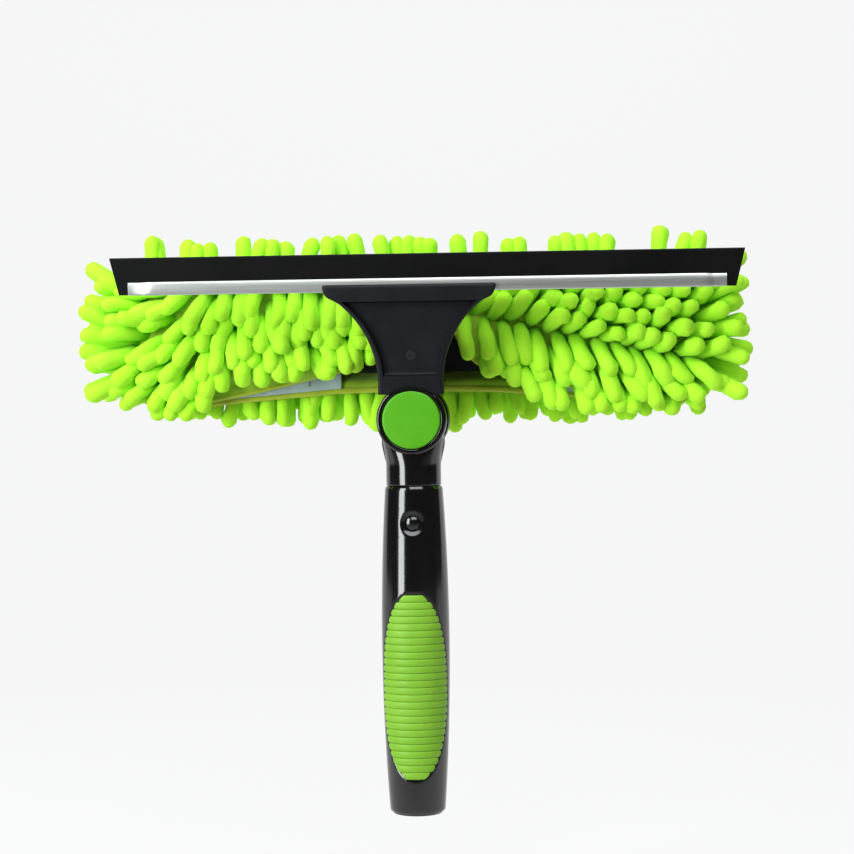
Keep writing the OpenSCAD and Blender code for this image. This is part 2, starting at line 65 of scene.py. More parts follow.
# %% [markdown]
# ## Small tools
# `piece` turns points and faces into an object. It flips the faces if the signed volume says that they
# look inwards, and it marks them smooth. `grid` writes the faces of a sheet of rows and columns, closed
# round or not, and `end_caps` closes a swept section at both ends. `coords` joins x, y and z, each a
# number or an array, into points. `lean` tips points forward about the swivel, because everything on the
# squeegee's side is easier to draw upright. Drawing upright and tipping once is how a workshop drawing
# is read too: one view square to the part, and one angle.

# %%
def coords(*parts):
    """Joins numbers and arrays, stretched to one shape, into points along a new last axis."""
    return np.stack(np.broadcast_arrays(*parts), -1)


def unit(v):
    """Vectors brought to length 1."""
    return v / np.maximum(np.linalg.norm(v, axis=-1, keepdims=True), 1e-9)


def grid(rows, cols, wrap=False):
    """Quads between neighbouring rows and columns. With wrap, the last column joins the first."""
    r = np.arange(rows - 1)[:, None] * cols
    c = np.arange(cols if wrap else cols - 1)[None, :]
    d = (c + 1) % cols
    return coords(r + c, r + d, r + cols + d, r + cols + c).reshape(-1, 4)


def end_caps(rows, cols):
    """The two faces that close a swept section: its first row and its last."""
    return [list(range(cols)), list(range((rows - 1) * cols, rows * cols))[::-1]]


def piece(name, points, faces, caps=(), body="head", closed=True, attributes=None, smooth_angle=None):
    """Makes a mesh object from points in mm and lists of faces; a closed one is turned to face outwards."""
    points = np.asarray(points, float).reshape(-1, 3)
    faces = [list(map(int, f)) for f in np.asarray(faces).tolist()] + [list(map(int, f)) for f in caps]
    mesh = bpy.data.meshes.new(name)
    mesh.from_pydata((points * MM).tolist(), [], faces)
    mesh.update()
    if closed:
        mesh.calc_loop_triangles()
        tri = np.zeros(len(mesh.loop_triangles) * 3, np.int64)
        mesh.loop_triangles.foreach_get("vertices", tri)
        a, b, c = (points[tri.reshape(-1, 3)[:, k]] for k in range(3))
        if np.einsum("ij,ij->i", a, np.cross(b, c)).sum() < 0:
            mesh.flip_normals()
    for key, values in (attributes or {}).items():
        stored = mesh.attributes.new(key, "FLOAT", "POINT").data
        stored.foreach_set("value", np.asarray(values, np.float32).ravel())
    mesh.polygons.foreach_set("use_smooth", [True] * len(mesh.polygons))
    if smooth_angle:
        mesh.set_sharp_from_angle(angle=math.radians(smooth_angle))
    obj = bpy.data.objects.new(name, mesh)
    bpy.context.scene.collection.objects.link(obj)
    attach(obj, body)
    size = (points.max(0) - points.min(0)).round(1)
    print(f"{name}: {len(points)} points, {len(faces)} faces, {size} mm")
    return obj


def lean(p):
    """Upright points relative to the swivel are tipped forward about its X line and lifted to its height."""
    x, y, z = np.moveaxis(np.asarray(p, float), -1, 0)
    c, s = math.cos(LEAN), math.sin(LEAN)
    return coords(x, y * c - z * s, y * s + z * c + HUB)


def step(edge0, edge1, v):
    """A smooth rise from 0 to 1 between two edges: 3t squared less 2t cubed."""
    t = np.clip((v - edge0) / (edge1 - edge0), 0, 1)
    return t * t * (3 - 2 * t)


def turned(profile, columns, axis="z", centre=(0.0, 0.0, 0.0)):
    """A closed body of revolution: the profile is pairs of (radius, height), both ends at radius 0."""
    profile = np.asarray(profile, float)
    ring, ends = profile[1:-1], profile[[0, -1]]
    a = np.linspace(0, 2 * math.pi, columns, endpoint=False)
    r, h = ring[:, :1], ring[:, 1:]
    p = coords(r * np.cos(a), r * np.sin(a), h)
    p = np.concatenate([p.reshape(-1, 3), [[0, 0, ends[0, 1]], [0, 0, ends[1, 1]]]])
    if axis == "y":
        p = p[:, [0, 2, 1]]
    p = p + np.asarray(centre, float)
    n = len(ring)
    i = np.arange(columns)
    j = (i + 1) % columns
    caps = [[int(q), int(w), n * columns] for q, w in zip(j, i)]
    caps += [[int(q) + (n - 1) * columns, int(w) + (n - 1) * columns, n * columns + 1] for q, w in zip(i, j)]
    return p, grid(n, columns, True), caps


def arc(cx, cy, r, a0, a1, n=6):
    """Points on a circle's arc, from angle a0 to a1 in degrees; used to round the corners of profiles."""
    t = np.radians(np.linspace(a0, a1, n))
    return coords(cx + r * np.cos(t), cy + r * np.sin(t))


# %% [markdown]
# ## The handle
# The handle is a moulded tube: it swells a little, then narrows to a parting line below the neck. Two
# parabolas give its outer radius, so the wall has no flat spot where they meet. The sleeve of points is
# wrapped round it, and near the snap pin's hole the net of points is bent from squares to circles: a
# point's larger distance, left-right or up-down, becomes its radius. So the hole has a clean round edge
# without cutting the mesh, and the dish pressed round it is just a dip in the same net. The beds of the
# two grips are shallow grooves in the same surface.

# %%
GRIP_Z, GRIP_W, GRIP_H = 62.0, 14.5, 44.0       # a grip's middle height, half width and half height
PIN_Z = 139.8                                   # height of the snap pin
BELLY_Z, BELLY_R, ABOVE = 83.3, 16.3, 73.9      # the widest place, its radius, the handle's length above it
WALL_R = 14.6                                   # the wall is unrolled to a flat net at this radius


def outer_radius(z):
    """The handle's radius at a height: a parabola below the widest place and another above it."""
    low = BELLY_R - 3.1 * ((BELLY_Z - z) / BELLY_Z) ** 2
    high = BELLY_R - 2.5 * ((z - BELLY_Z) / ABOVE) ** 2
    return np.where(z < BELLY_Z, low, high)


def handle_skin():
    """Net of height by angle on the outer wall, closed over both rims and down inside the two sockets."""
    fine, calm = 0.65, 8.45      # the net's step by the pin's hole, and the distance where it is square again
    near = fine * np.arange(-13, 14)
    zs = np.concatenate([np.arange(0, PIN_Z - 13 * fine, 1.3), PIN_Z + near,
                         np.linspace(PIN_Z + 14 * fine, HANDLE, 8)])
    xs = np.concatenate([near, np.linspace(near[-1], 2 * math.pi * WALL_R - near[-1], 100)[1:-1]])
    dx, z_flat = np.meshgrid(xs, zs)
    dz = z_flat - PIN_Z
    m = np.maximum(np.abs(dx), np.abs(dz))
    length = np.maximum(np.hypot(dx, dz), 1e-6)
    new = np.interp(m, [0, 2.6, 3.25, 3.9, 4.55, 5.2, calm], [0, 3.74, 3.82, 3.9, 4.6, 5.3, calm])
    round_part = np.clip((calm - m) / 2.6, 0, 1)
    k = round_part * new / length + (1 - round_part)
    dx, dz = dx * k, dz * k
    dist = np.where(round_part > 0, np.hypot(dx, dz), 99)
    z = np.where(m > calm + 0.01, z_flat, dz + PIN_Z)
    dip = 0.9 * (1 - step(3.9, 6.2, dist)) + np.where(m < 3.3, 0.5, 0) + np.where(m < 2.7, 2.6, 0)
    theta = dx / WALL_R
    radius = outer_radius(z)
    bottom = np.clip(1 - z / 1.8, 0, 1)
    top = np.clip(1 - (HANDLE - z) / 0.6, 0, 1)
    radius = radius - 1.8 * (1 - np.sqrt(1 - bottom ** 2)) - 0.6 * (1 - np.sqrt(1 - top ** 2))
    side = np.abs(radius * np.sin(theta))
    e = ((side / (GRIP_W + 0.7)) ** 2.5 + (np.abs(z - GRIP_Z) / (GRIP_H + 0.7)) ** 2.5) ** 0.4
    groove = 1.1 * (1 - step(0.955, 1.0, e)) * (np.abs(np.cos(theta)) > 0.2)
    radius = radius - dip - groove
    wall = coords(radius * np.sin(theta), -radius * np.cos(theta), z)
    a = xs / WALL_R
    # the bottom rim from the pole's socket outwards, then the top rim from outside into the neck's socket
    below = [(9, 60), (11, 60), (11, 1.0), (11.3, 0.3), (11.8, 0.0)]
    above = [(12.2, HANDLE), (10.9, HANDLE), (10.6, HANDLE - 0.4), (10.6, HANDLE - 45), (9, HANDLE - 45)]
    below, above = ([coords(r * np.sin(a), -r * np.cos(a), h) for r, h in rim] for rim in (below, above))
    all_rows = np.concatenate([below, wall, above])
    all_rows = np.concatenate([all_rows, all_rows[:1]])
    return all_rows, grid(len(all_rows), len(xs), True)


points, faces = handle_skin()
handle = piece("handle_skin", points, faces, body="handle", smooth_angle=50)
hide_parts("handle_shell")

# %% [markdown]
# ## The two rubber grips
# Each grip is an oval pad with 26 ribs. A rib is a rounded bar, and its two ends are rounded as well, so
# the pad's outline is scalloped. One fraction does both: how far a point is from the middle of its rib,
# from -1 to 1. The square root of one less its cube is a bow a little fuller than a half circle. It
# raises the rib's back, and the same bow shortens the pad's half width between two ribs. A flat pad with
# a striped picture would show a smooth edge against the black, so the ribs are real.

# %%
def grip(name, side):
    """Net of rib fraction by position across; its height above the wall is a bow along z and flat across."""
    ribs = 26
    pitch = 2 * GRIP_H / ribs
    f = np.tile(np.array([-1, -0.93, -0.8, -0.55, -0.2, 0.2, 0.55, 0.8, 0.93]), ribs)
    k = np.repeat(np.arange(ribs), 9)
    z = GRIP_Z - GRIP_H + (k + 0.5 + f / 2) * pitch
    centre = GRIP_Z - GRIP_H + (k + 0.5) * pitch
    mid = 0.6 * z + 0.4 * centre
    half = GRIP_W * np.clip(1 - np.abs((mid - GRIP_Z) / (GRIP_H + 0.1)) ** 2.5, 0, 1) ** 0.4
    bow = np.clip(1 - np.abs(f) ** 3, 0, 1) ** 0.5
    half = np.maximum(half + 0.35 - 0.75 * (1 - bow), 1.6)
    t = np.sin(np.linspace(-math.pi / 2, math.pi / 2, 41))
    edge = np.clip((1 - np.abs(t)) / 0.08, 0, 1)
    crown = np.sqrt(1 - (1 - edge) ** 2)
    r = outer_radius(z)
    h = (0.3 + 0.62 * bow)[:, None] * crown - 1.0 * (1 - crown)
    ang = np.arcsin(np.clip(half / r, 0, 0.97))[:, None] * t
    radius = r[:, None] + h
    outside = coords(radius * np.sin(ang), -radius * np.cos(ang), z[:, None])
    radius = r[:, None] - 1.15        # the hidden face lies below the wall
    inside = coords(radius * np.sin(ang), -radius * np.cos(ang), z[:, None])
    rows = np.concatenate([outside, inside[:, ::-1]], 1)
    n, c = rows.shape[:2]
    if side < 0:
        rows = rows * np.array([-1, -1, 1])
    obj = piece(name, rows, grid(n, c, True), end_caps(n, c), body="handle", smooth_angle=75)
    return obj


grip_f = grip("grip_ribs_front", 1)
grip_b = grip("grip_ribs_back", -1)
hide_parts("grip_front")
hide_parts("grip_back")

# %% [markdown]
# ## The neck
# The neck is two bodies that run into each other. The ring is turned about the swivel's axis: one
# profile draws the well for the button, its floor and the post that the head turns on. The stem is a
# stack of rings that widens in a soft flare where it meets the turned part, and its top row is bent to
# the ring's own circle, so the two meet without a step. At the back the rows stop at a larger circle,
# which is the room that the head's hub turns in.

# %%
def stem():
    """Stack of round sections; the upper ones flare, and each column ends on a circle about the swivel."""
    th = np.radians(np.concatenate([np.linspace(-180, -91.5, 21), np.linspace(-90.5, 90.5, 45),
                                    np.linspace(91.5, 180, 21)[:-1]]))
    # pairs of height and radius: down inside the plug, round its lower end, up outside, over the shoulder
    low = [(150.0, 8.0), (115.5, 8.0), (115.2, 8.3), (115.2, 9.9), (115.7, 10.5), (HANDLE, 10.5),
           (157.3, 12.5),
           (157.5, 12.95), (157.8, 13.17), (158.0, 13.2), (158.3, 13.2), (160.0, 13.2), (161.7, 13.2)]
    rows = [coords(r * np.sin(th), -r * np.cos(th), z) for z, r in low]
    flare_z = HUB - 27           # where the stem begins to flare
    for s in np.linspace(0, 1, 19)[1:]:
        a = 13.2 + 2.0 * step(HUB - 20, HUB - 5, flare_z + 22 * s)
        x = a * np.sin(th)
        y = -(13.2 - 0.5 * s ** 3) * np.cos(th)
        reach = np.where(y < -0.3, 15.3, 18.2)
        z_top = HUB - np.sqrt(reach ** 2 - np.minimum(np.abs(x), 14.6) ** 2)
        rows.append(coords(x, y, flare_z * (1 - s) + z_top * s))
    rows = np.array(rows)
    n, c = rows.shape[:2]
    p = np.concatenate([rows.reshape(-1, 3), [[0, -4.0, HUB - 18.0]]])
    fan = [[(n - 1) * c + k, (n - 1) * c + (k + 1) % c, n * c] for k in range(c)]
    return p, grid(n, c, True), [list(range(c))[::-1]] + fan


p, f, caps = stem()
neck_stem = piece("neck_stem", p, f, caps, body="handle", smooth_angle=45)
prof = np.concatenate([[[0, -8.5], [13.9, -8.5]], arc(13.9, -8.8, 0.3, 90, 0, 3), [[14.2, -12.5]],
                       arc(14.6, -12.6, 0.4, 180, 270, 4),
                       arc(15.5, -11.8, 1.2, -90, 0, 7), [[16.7, -8.0], [16.7, -4.0]],
                       arc(16.3, -0.7, 0.4, 0, 90, 4),
                       [[12.2, -0.3], [12.2, -6.5], [4, -6.5], [4, 10.5], [3.8, 10.7], [0, 10.7]]])
p, f, caps = turned(prof, 110, axis="y", centre=(0, 0, HUB))
neck_ring = piece("neck_ring", p, f, caps, body="handle", smooth_angle=40)
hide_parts("neck")

# %% [markdown]
# ## The bracket
# The bracket is the flared plate that carries the blade's channel. Its sides are two big circles, so its
# half width at a height follows from a circle's equation. The plate has a sunk panel with a rim left all
# round. The columns of the net are not spread evenly: they crowd at the rounded edge and at the wall of
# the panel, where the shape turns, and are sparse on the flat. That is what keeps an edge crisp at a low
# count of faces. The foot is cut by the circle of the swivel's ring, with a gap so that it can turn.

# %%
def bracket_half(z):
    """Half width of the flared plate: circles of 49.3 mm beside it, then the jaw that widens to 41 mm."""
    flare = 64.8 - np.sqrt(np.clip(49.3 ** 2 - (z - 19.2) ** 2, 0, None))
    jaw = np.interp(z, [56.5, 57.5, 58.4, 59.2, 60.0, 61.0, 62.5, 64.4, 65.3, 65.75, 66.0, 66.1],
                    [32.6, 33.9, 35.4, 37.2, 38.7, 39.7, 40.5, 41.0, 41.0, 40.8, 40.4, 40.0])
    return np.where(z < 56.5, flare, jaw)


def bracket_plate():
    """Front net with crowded columns, closed round the sides to a flat back."""
    fine = np.array([0.0, 0.12, 0.4, 0.85, 1.4, 2.5, 2.75, 3.05, 3.3, 3.45])
    s = np.linspace(0, 1, 27)[1:-1]
    # -1 at the foot's arc, 0 where the rows become straight; above that, a row's own height
    foot = np.linspace(0, 1, 9)[:-1] - 1
    straight = np.concatenate([[22.0, 22.3, 22.7, 23.1, 23.5], np.linspace(25, 55.5, 26),
                               [56.5, 57.2, 57.7, 58.2, 58.8, 59.4, 60.0, 60.8, 61.8, 63.2, 64.4, 65.3],
                               [65.75, 66.0, 66.1]])
    rows = []
    for h in np.concatenate([foot, straight]):
        z_edge = 13.8 + (h + 1) * 8.2 if h <= 0 else h
        w = float(bracket_half(np.float64(z_edge)))
        x = np.concatenate([-w + fine, -w + fine[-1] + s * 2 * (w - fine[-1]), (w - fine)[::-1]])
        if h <= 0:
            k = h + 1
            arc_z = np.sqrt(np.maximum(17.7 ** 2 - np.minimum(np.abs(x), 11.08) ** 2, 0))
            z = arc_z * (1 - k) + 22.0 * k
        else:
            z = h
        rows.append(coords(x, z))
    rows = np.array(rows)
    x, z = rows[..., 0], rows[..., 1]
    w = np.abs(x[:, :1])
    slope = np.gradient(w[:, 0], z[:, 0])[:, None]
    edge = (w - np.abs(x)) / np.sqrt(1 + np.clip(slope, 0, 2) ** 2) * 1.15
    top = 66.1 - z
    rounding = 1.3
    d = np.clip(np.minimum(edge, top), 0, rounding)
    y = -11.5 + (rounding - np.sqrt(np.clip(rounding ** 2 - (rounding - d) ** 2, 0, None)))
    panel = np.minimum(step(2.5, 3.3, w - np.abs(x)), np.minimum(step(22.2, 23.3, z), step(58.2, 57.2, z)))
    y = y + 3.3 * panel
    # the screw's seat: rows and columns around it are drawn into rings, and the inner rings sink
    screw_z = 32.1
    j0 = x.shape[1] // 2
    i0 = int(np.argmin(np.abs(z[:, j0] - screw_z)))
    i = np.arange(x.shape[0])[:, None] - i0
    j = np.arange(x.shape[1])[None, :] - j0
    m = np.maximum(np.abs(i), np.abs(j))
    away = np.maximum(np.hypot(j * 1.06, i * 1.22), 1e-6)
    want = np.interp(m, [0, 1, 2, 3, 4], [0, 1.5, 2.35, 2.75, 3.9])
    near = m <= 4
    x = np.where(near, want * j * 1.06 / away, x)
    z = np.where(near, screw_z + want * i * 1.22 / away, z)
    y = y + np.interp(m, [0, 1, 2, 3], [1.6, 1.6, 1.2, 0.0])
    front, back = coords(x, y, z), coords(x, -4.0, z)
    ring = np.concatenate([front, back[:, ::-1]], 1)
    n, c = ring.shape[:2]
    return ring, grid(n, c, True), end_caps(n, c)


p, f, caps = bracket_plate()
bracket = piece("bracket_plate", lean(p), f, caps, smooth_angle=40)
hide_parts("squeegee_bracket")

# %% [markdown]
# ## The channel and the blade
# The steel channel is a folded strip, 283 mm long, and its two ends are pinched for 7 mm so that the
# rubber can't slide out. The rubber strip is 300 mm long and its ends are cut on a slant. Both are one
# outline carried along the blade; the outline shrinks a little where the steel is pinched. Their middle
# lies 7.5 mm to the right of the bracket's, because the channel can be slid in the jaw before it is
# tightened.

# %%
SHIFT = 7.5                  # how far the channel is slid to the right


def along_x(name, outline, stations, bend):
    """Carries an outline of (y, z) along x; bend takes the x, y and z of all points and moves them."""
    x, y, z = bend(*np.broadcast_arrays(stations[:, None], outline[:, 0], outline[:, 1]))
    p = coords(x + SHIFT, y, z)
    n, c = p.shape[:2]
    return piece(name, lean(p), grid(n, c, True), end_caps(n, c), smooth_angle=35)


half = 141.5                 # of the channel's length
outline = np.concatenate([arc(-8.0, 63.2, 0.8, 180, 270, 5), arc(-3.6, 63.2, 0.8, 270, 360, 5),
                          [[-2.8, 68.8], [-3.3, 68.8]],
                          [[-4.2, 68.0], [-4.2, 64.4], [-7.4, 64.4], [-7.4, 68.2]],
                          [[-7.8, 68.8], [-8.1, 68.75], [-8.8, 67.4]]])
from_end = np.array([0, 0.4, 1.5, 5.6, 7.4, 8.4])
stations = np.concatenate([-half + from_end, np.linspace(-half + 12, half - 12, 60), (half - from_end)[::-1]])


def pinched(x, y, z):
    """The last 7 mm at each end are pressed in by up to 0.8 mm on both faces, on a slanted crease."""
    t = step(half - 8.6, half - 6.4, np.abs(x) + (z - 65.6) * 0.22)
    return x, y + t * 0.8 * np.where(y < -5.8, 1, -1), z - 0.25 * t * (z > 67)


channel = along_x("channel_strip", outline, stations, pinched)
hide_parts("channel")

lip = np.concatenate([[[-7.3, 62.6]], [[-7.3, 68.0]], coords(np.full(8, -7.3), np.linspace(69, 78.6, 8)),
                      arc(-6.9, 79.8, 0.4, 180, 90, 4), arc(-4.7, 79.8, 0.4, 90, 0, 4),
                      coords(np.full(8, -4.3), np.linspace(78.6, 69, 8)), [[-4.3, 62.6]]])
stations = np.concatenate([[-1, -0.999, -0.997], np.linspace(-0.99, 0.99, 90), [0.997, 0.999, 1]])


def slanted(x, y, z):
    """Half length grows with height, from 146 mm at the channel to 150 mm at the wiping edge."""
    return x * (146.0 + 4.0 * (z - 62.6) / 17.6), y, z


blade = along_x("blade_rubber_strip", lip, stations, slanted)
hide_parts("squeegee_rubber")

# %% [markdown]
# ## The lock button
# A shallow turned disc with a slightly domed face and a rounded edge, and three legs that reach through
# the floor to the gear. The dome is 0.35 mm high: too little to see as a shape, but it is what makes the
# light fall off across the face.

# %%
r = np.linspace(1, 12.6, 8)
prof = np.concatenate([[[0, -14.1]], coords(r, -14.1 + 0.35 * (r / 12.6) ** 2),
                       arc(12.9, -12.75, 1.0, -90, 0, 6), [[13.9, -11.7], [13.5, -11.7], [0, -11.7]]])
p, f, caps = turned(prof, 72, axis="y", centre=(0, 0, HUB))
button = piece("button_cap", p, f, caps, body="button", smooth_angle=40)
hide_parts("lock_button")
leg_profile = np.concatenate([[[0, -12.2]], [[1.5, -12.2], [1.5, -3.2]], arc(0.95, -3.2, 0.55, 0, 90, 4),
                              [[0, -2.65]]])
p, f, caps = turned(leg_profile, 20, axis="y")
angles = np.radians([90, 210, 330])
leg_circle = 7.6
offsets = coords(leg_circle * np.cos(angles), 0, HUB + leg_circle * np.sin(angles))
legs_p = np.concatenate([p + o for o in offsets])
legs_f = np.concatenate([f + k * len(p) for k in range(3)])
legs_c = [[v + k * len(p) for v in cap] for k in range(3) for cap in caps]
legs = piece("button_legs", legs_p, legs_f, legs_c, body="button", smooth_angle=40)

# %% [markdown]
# ## The sleeve's cloth
# The sleeve is one cut of cloth folded over the bar, with a flap in front and one behind that close on
# hook-and-loop tape. The net runs from the front hem, up the front, over the top, and down to the back
# hem; its columns run along the bar. The front hem is not straight: in the middle it rises into a mouth,
# so that the arm can reach the bar. Because the rows start at the hem, the mouth has a smooth cut edge
# and nothing has to be trimmed away. At both ends the section closes like the end of a pillow case.

# %%
SLEEVE_Y, SLEEVE_Z = 36, 231     # the middle of the sleeve's section
SLEEVE_HALF = 142.4              # half the cloth's length
ROUND = 14.4                     # length over which each end closes
STRAIGHT = 128.0                 # half the length between the two closings


def front_hem(x):
    """Height of the front hem: low at the ends, rising to the mouth's top in the middle."""
    return np.interp(np.abs(x), [0, 15, 17.5, 21, 25, 30, 38, 51, 80, 126, 136, SLEEVE_HALF],
                     [242, 241, 236, 228, 221, 216, 212.5, 209.6, 203, 194.5, 197, 203])


def back_hem(x):
    """Height of the back hem: a shallow curve, lowest at the ends."""
    return np.interp(np.abs(x), [0, 40, 90, 126, 136, SLEEVE_HALF], [203.5, 202.6, 198.5, 194.5, 197, 203])


def closing(x):
    """1 along the bar, falling to almost 0 over the last 14.4 mm, as a quarter circle does."""
    t = np.clip((np.abs(x) - STRAIGHT) / ROUND, 0, 1)
    return np.maximum(np.sqrt(1 - t ** 2), 0.06)


def drawn_in(x, y, z):
    """The section is drawn together towards the sleeve's two ends."""
    k = closing(x)
    return SLEEVE_Y + (y - SLEEVE_Y) * k, SLEEVE_Z + (z - SLEEVE_Z) * (0.72 + 0.28 * k)


def cloth_y(z, front):
    """The cloth's distance back: full thickness beside the bar, coming together below it at the flaps."""
    k = step(206.5, 213.5, z)
    return 32.4 * (1 - k) + 28.6 * k if front else 36.0 * (1 - k) + 43.4 * k


def sleeve_points(xs, n_front, n_top):
    """Rows from the front hem to the back hem, for all columns at once."""
    x = np.asarray(xs, float)[None, :]
    s = np.linspace(0, 1, n_front)[:, None]
    zt = 251.0                   # where the front turns into the rounded top
    zf = front_hem(x) * (1 - s) + zt * s
    zb = back_hem(x) * (1 - s) + zt * s
    a = np.linspace(0, math.pi, n_top)[1:-1, None]
    top_y, top_z = SLEEVE_Y - 7.4 * np.cos(a) + 0 * x, zt + 7.4 * np.sin(a) + 0 * x
    y = np.concatenate([cloth_y(zf, True), top_y, cloth_y(zb, False)[::-1]])
    z = np.concatenate([zf, top_z, zb[::-1]])
    x = np.repeat(x, len(z), 0)
    ripple = 0.35 * np.sin(x / 7.3 + z / 11.0) + 0.25 * np.sin(x / 3.1 - z / 6.0)
    side = np.where(y < SLEEVE_Y, -1, 1)
    y = y + ripple * side * step(0, 1, np.minimum(np.abs(z - 258) / 10, 1)) * 0.5
    return coords(x, *drawn_in(x, y, z))


quarter = np.linspace(0, math.pi / 2, 9)
xs = np.concatenate([-SLEEVE_HALF + ROUND * (1 - np.cos(quarter[:-1])), np.linspace(-STRAIGHT, STRAIGHT, 151),
                     STRAIGHT + ROUND * np.sin(quarter[1:])])
net = sleeve_points(xs, 34, 9)
length = np.linalg.norm(np.diff(net[:, len(xs) // 3], axis=0), axis=-1).sum()
cloth = piece("sleeve_skin", net, grid(*net.shape[:2]), closed=False)
thick = cloth.modifiers.new("cloth thickness", "SOLIDIFY")
thick.thickness, thick.offset = 1.1 * MM, 1.0
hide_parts("sleeve_cloth")
print("cloth, hem to hem:", round(float(length), 1), "mm")

# %% [markdown]
# ## Hems and tapes
# A hem is a folded ribbon, so its section is an oval that follows the cut edge of the cloth. The path
# is read from the cloth's own net, so the hem can never part from it. The hook-and-loop tapes are thin
# strips on the inner faces of the flaps; the back one shows below the front hem, on the left.

# %%
def ribbon(name, path, wide, thick_mm, sides=12):
    """An oval section carried along a path in the plane across it; wide is along z, thick along y."""
    t = unit(np.gradient(path, axis=0))
    up = unit(np.cross(t, [0, -1, 0]))
    out = np.cross(up, t)
    a = np.linspace(0, 2 * math.pi, sides, endpoint=False)
    p = (path[:, None] + up[:, None] * (np.cos(a) * wide / 2)[None, :, None]
         + out[:, None] * (np.sin(a) * thick_mm / 2)[None, :, None])
    return piece(name, p, grid(len(path), sides, True), end_caps(len(path), sides))


front_edge, back_edge = net[0], net[-1]
hem_front = ribbon("hem_front", front_edge + [0, -0.3, 0.6], 2.6, 2.3)
hem_back = ribbon("hem_back", back_edge + [0, 0.2, 0.6], 3.0, 2.3)
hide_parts("sleeve_binding")
seams = []
for side, tag in ((0, "left"), (-1, "right")):
    column = net[:, side]
    zz = np.linspace(column[:, 2].min() + 0.5, column[:, 2].max() - 0.5, 40)
    seam = ribbon("end_seam_" + tag, coords(column[0, 0], float(SLEEVE_Y), zz), 3.2, 2.6)
    seams.append(seam)


def tape(name, x0, x1, y, lift, tall):
    """A thin strip that follows the back hem from x0 to x1, lifted above it, as tall as given."""
    x = np.linspace(x0, x1, 60)
    low = back_hem(x) + lift
    zs = np.linspace(0, 1, 7)[:, None] * (low + tall - low) + low
    near = coords(x, y, zs)
    ring = np.concatenate([near, near[::-1] + [0, 0.8, 0]])
    r, c = ring.shape[:2]
    k = np.arange(c - 1)
    faces = np.concatenate([grid(r, c), coords(k + (r - 1) * c, k + 1 + (r - 1) * c, k + 1, k)])
    caps = [[k * c for k in range(r)][::-1], [k * c + c - 1 for k in range(r)]]
    return piece(name, ring, faces, caps, smooth_angle=40)


loop_l = tape("loop_strip_left", -125.0, -38.0, 34.3, 1.6, 9.5)
loop_r = tape("loop_strip_right", 58.0, 125.0, 34.3, 1.6, 9.5)
hook_l = tape("hook_strip_left", -122.0, -54.0, 33.3, 4.2, 7.0)
hook_r = tape("hook_strip_right", 60.0, 122.0, 33.3, 4.2, 7.0)
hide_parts("loop_tape")
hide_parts("hook_tape")

# %% [markdown]
# ## The chenille fingers
# Every finger is a short soft cord with a round tip, sewn to the cloth at its root. Its middle line is
# the simplest curve that can bend: it leaves the cloth in one direction and ends in another, and in
# between the direction changes evenly. So place along the line is the root, plus the length times t
# times the first direction, plus half of t squared times the difference. The curve lies in one plane, so
# the rings never twist; a small sway across that plane is added to it. All fingers of a zone are worked
# out at once, as one array of fingers by rings by sides. What makes them look like a real sleeve is the
# field of directions: on the left they hang in rows, on the right they part along a line like a
# herringbone, at the ends they point outwards, and the ones on top stand in clumps. A clump is four
# round numbers: its middle, how many fingers it has, how far apart they stand and how high they reach.
# Each finger then gets its own small scatter from a seeded draw.

# %%
T_RINGS = np.array([0.0, 0.25, 0.5, 0.75, 1.0])


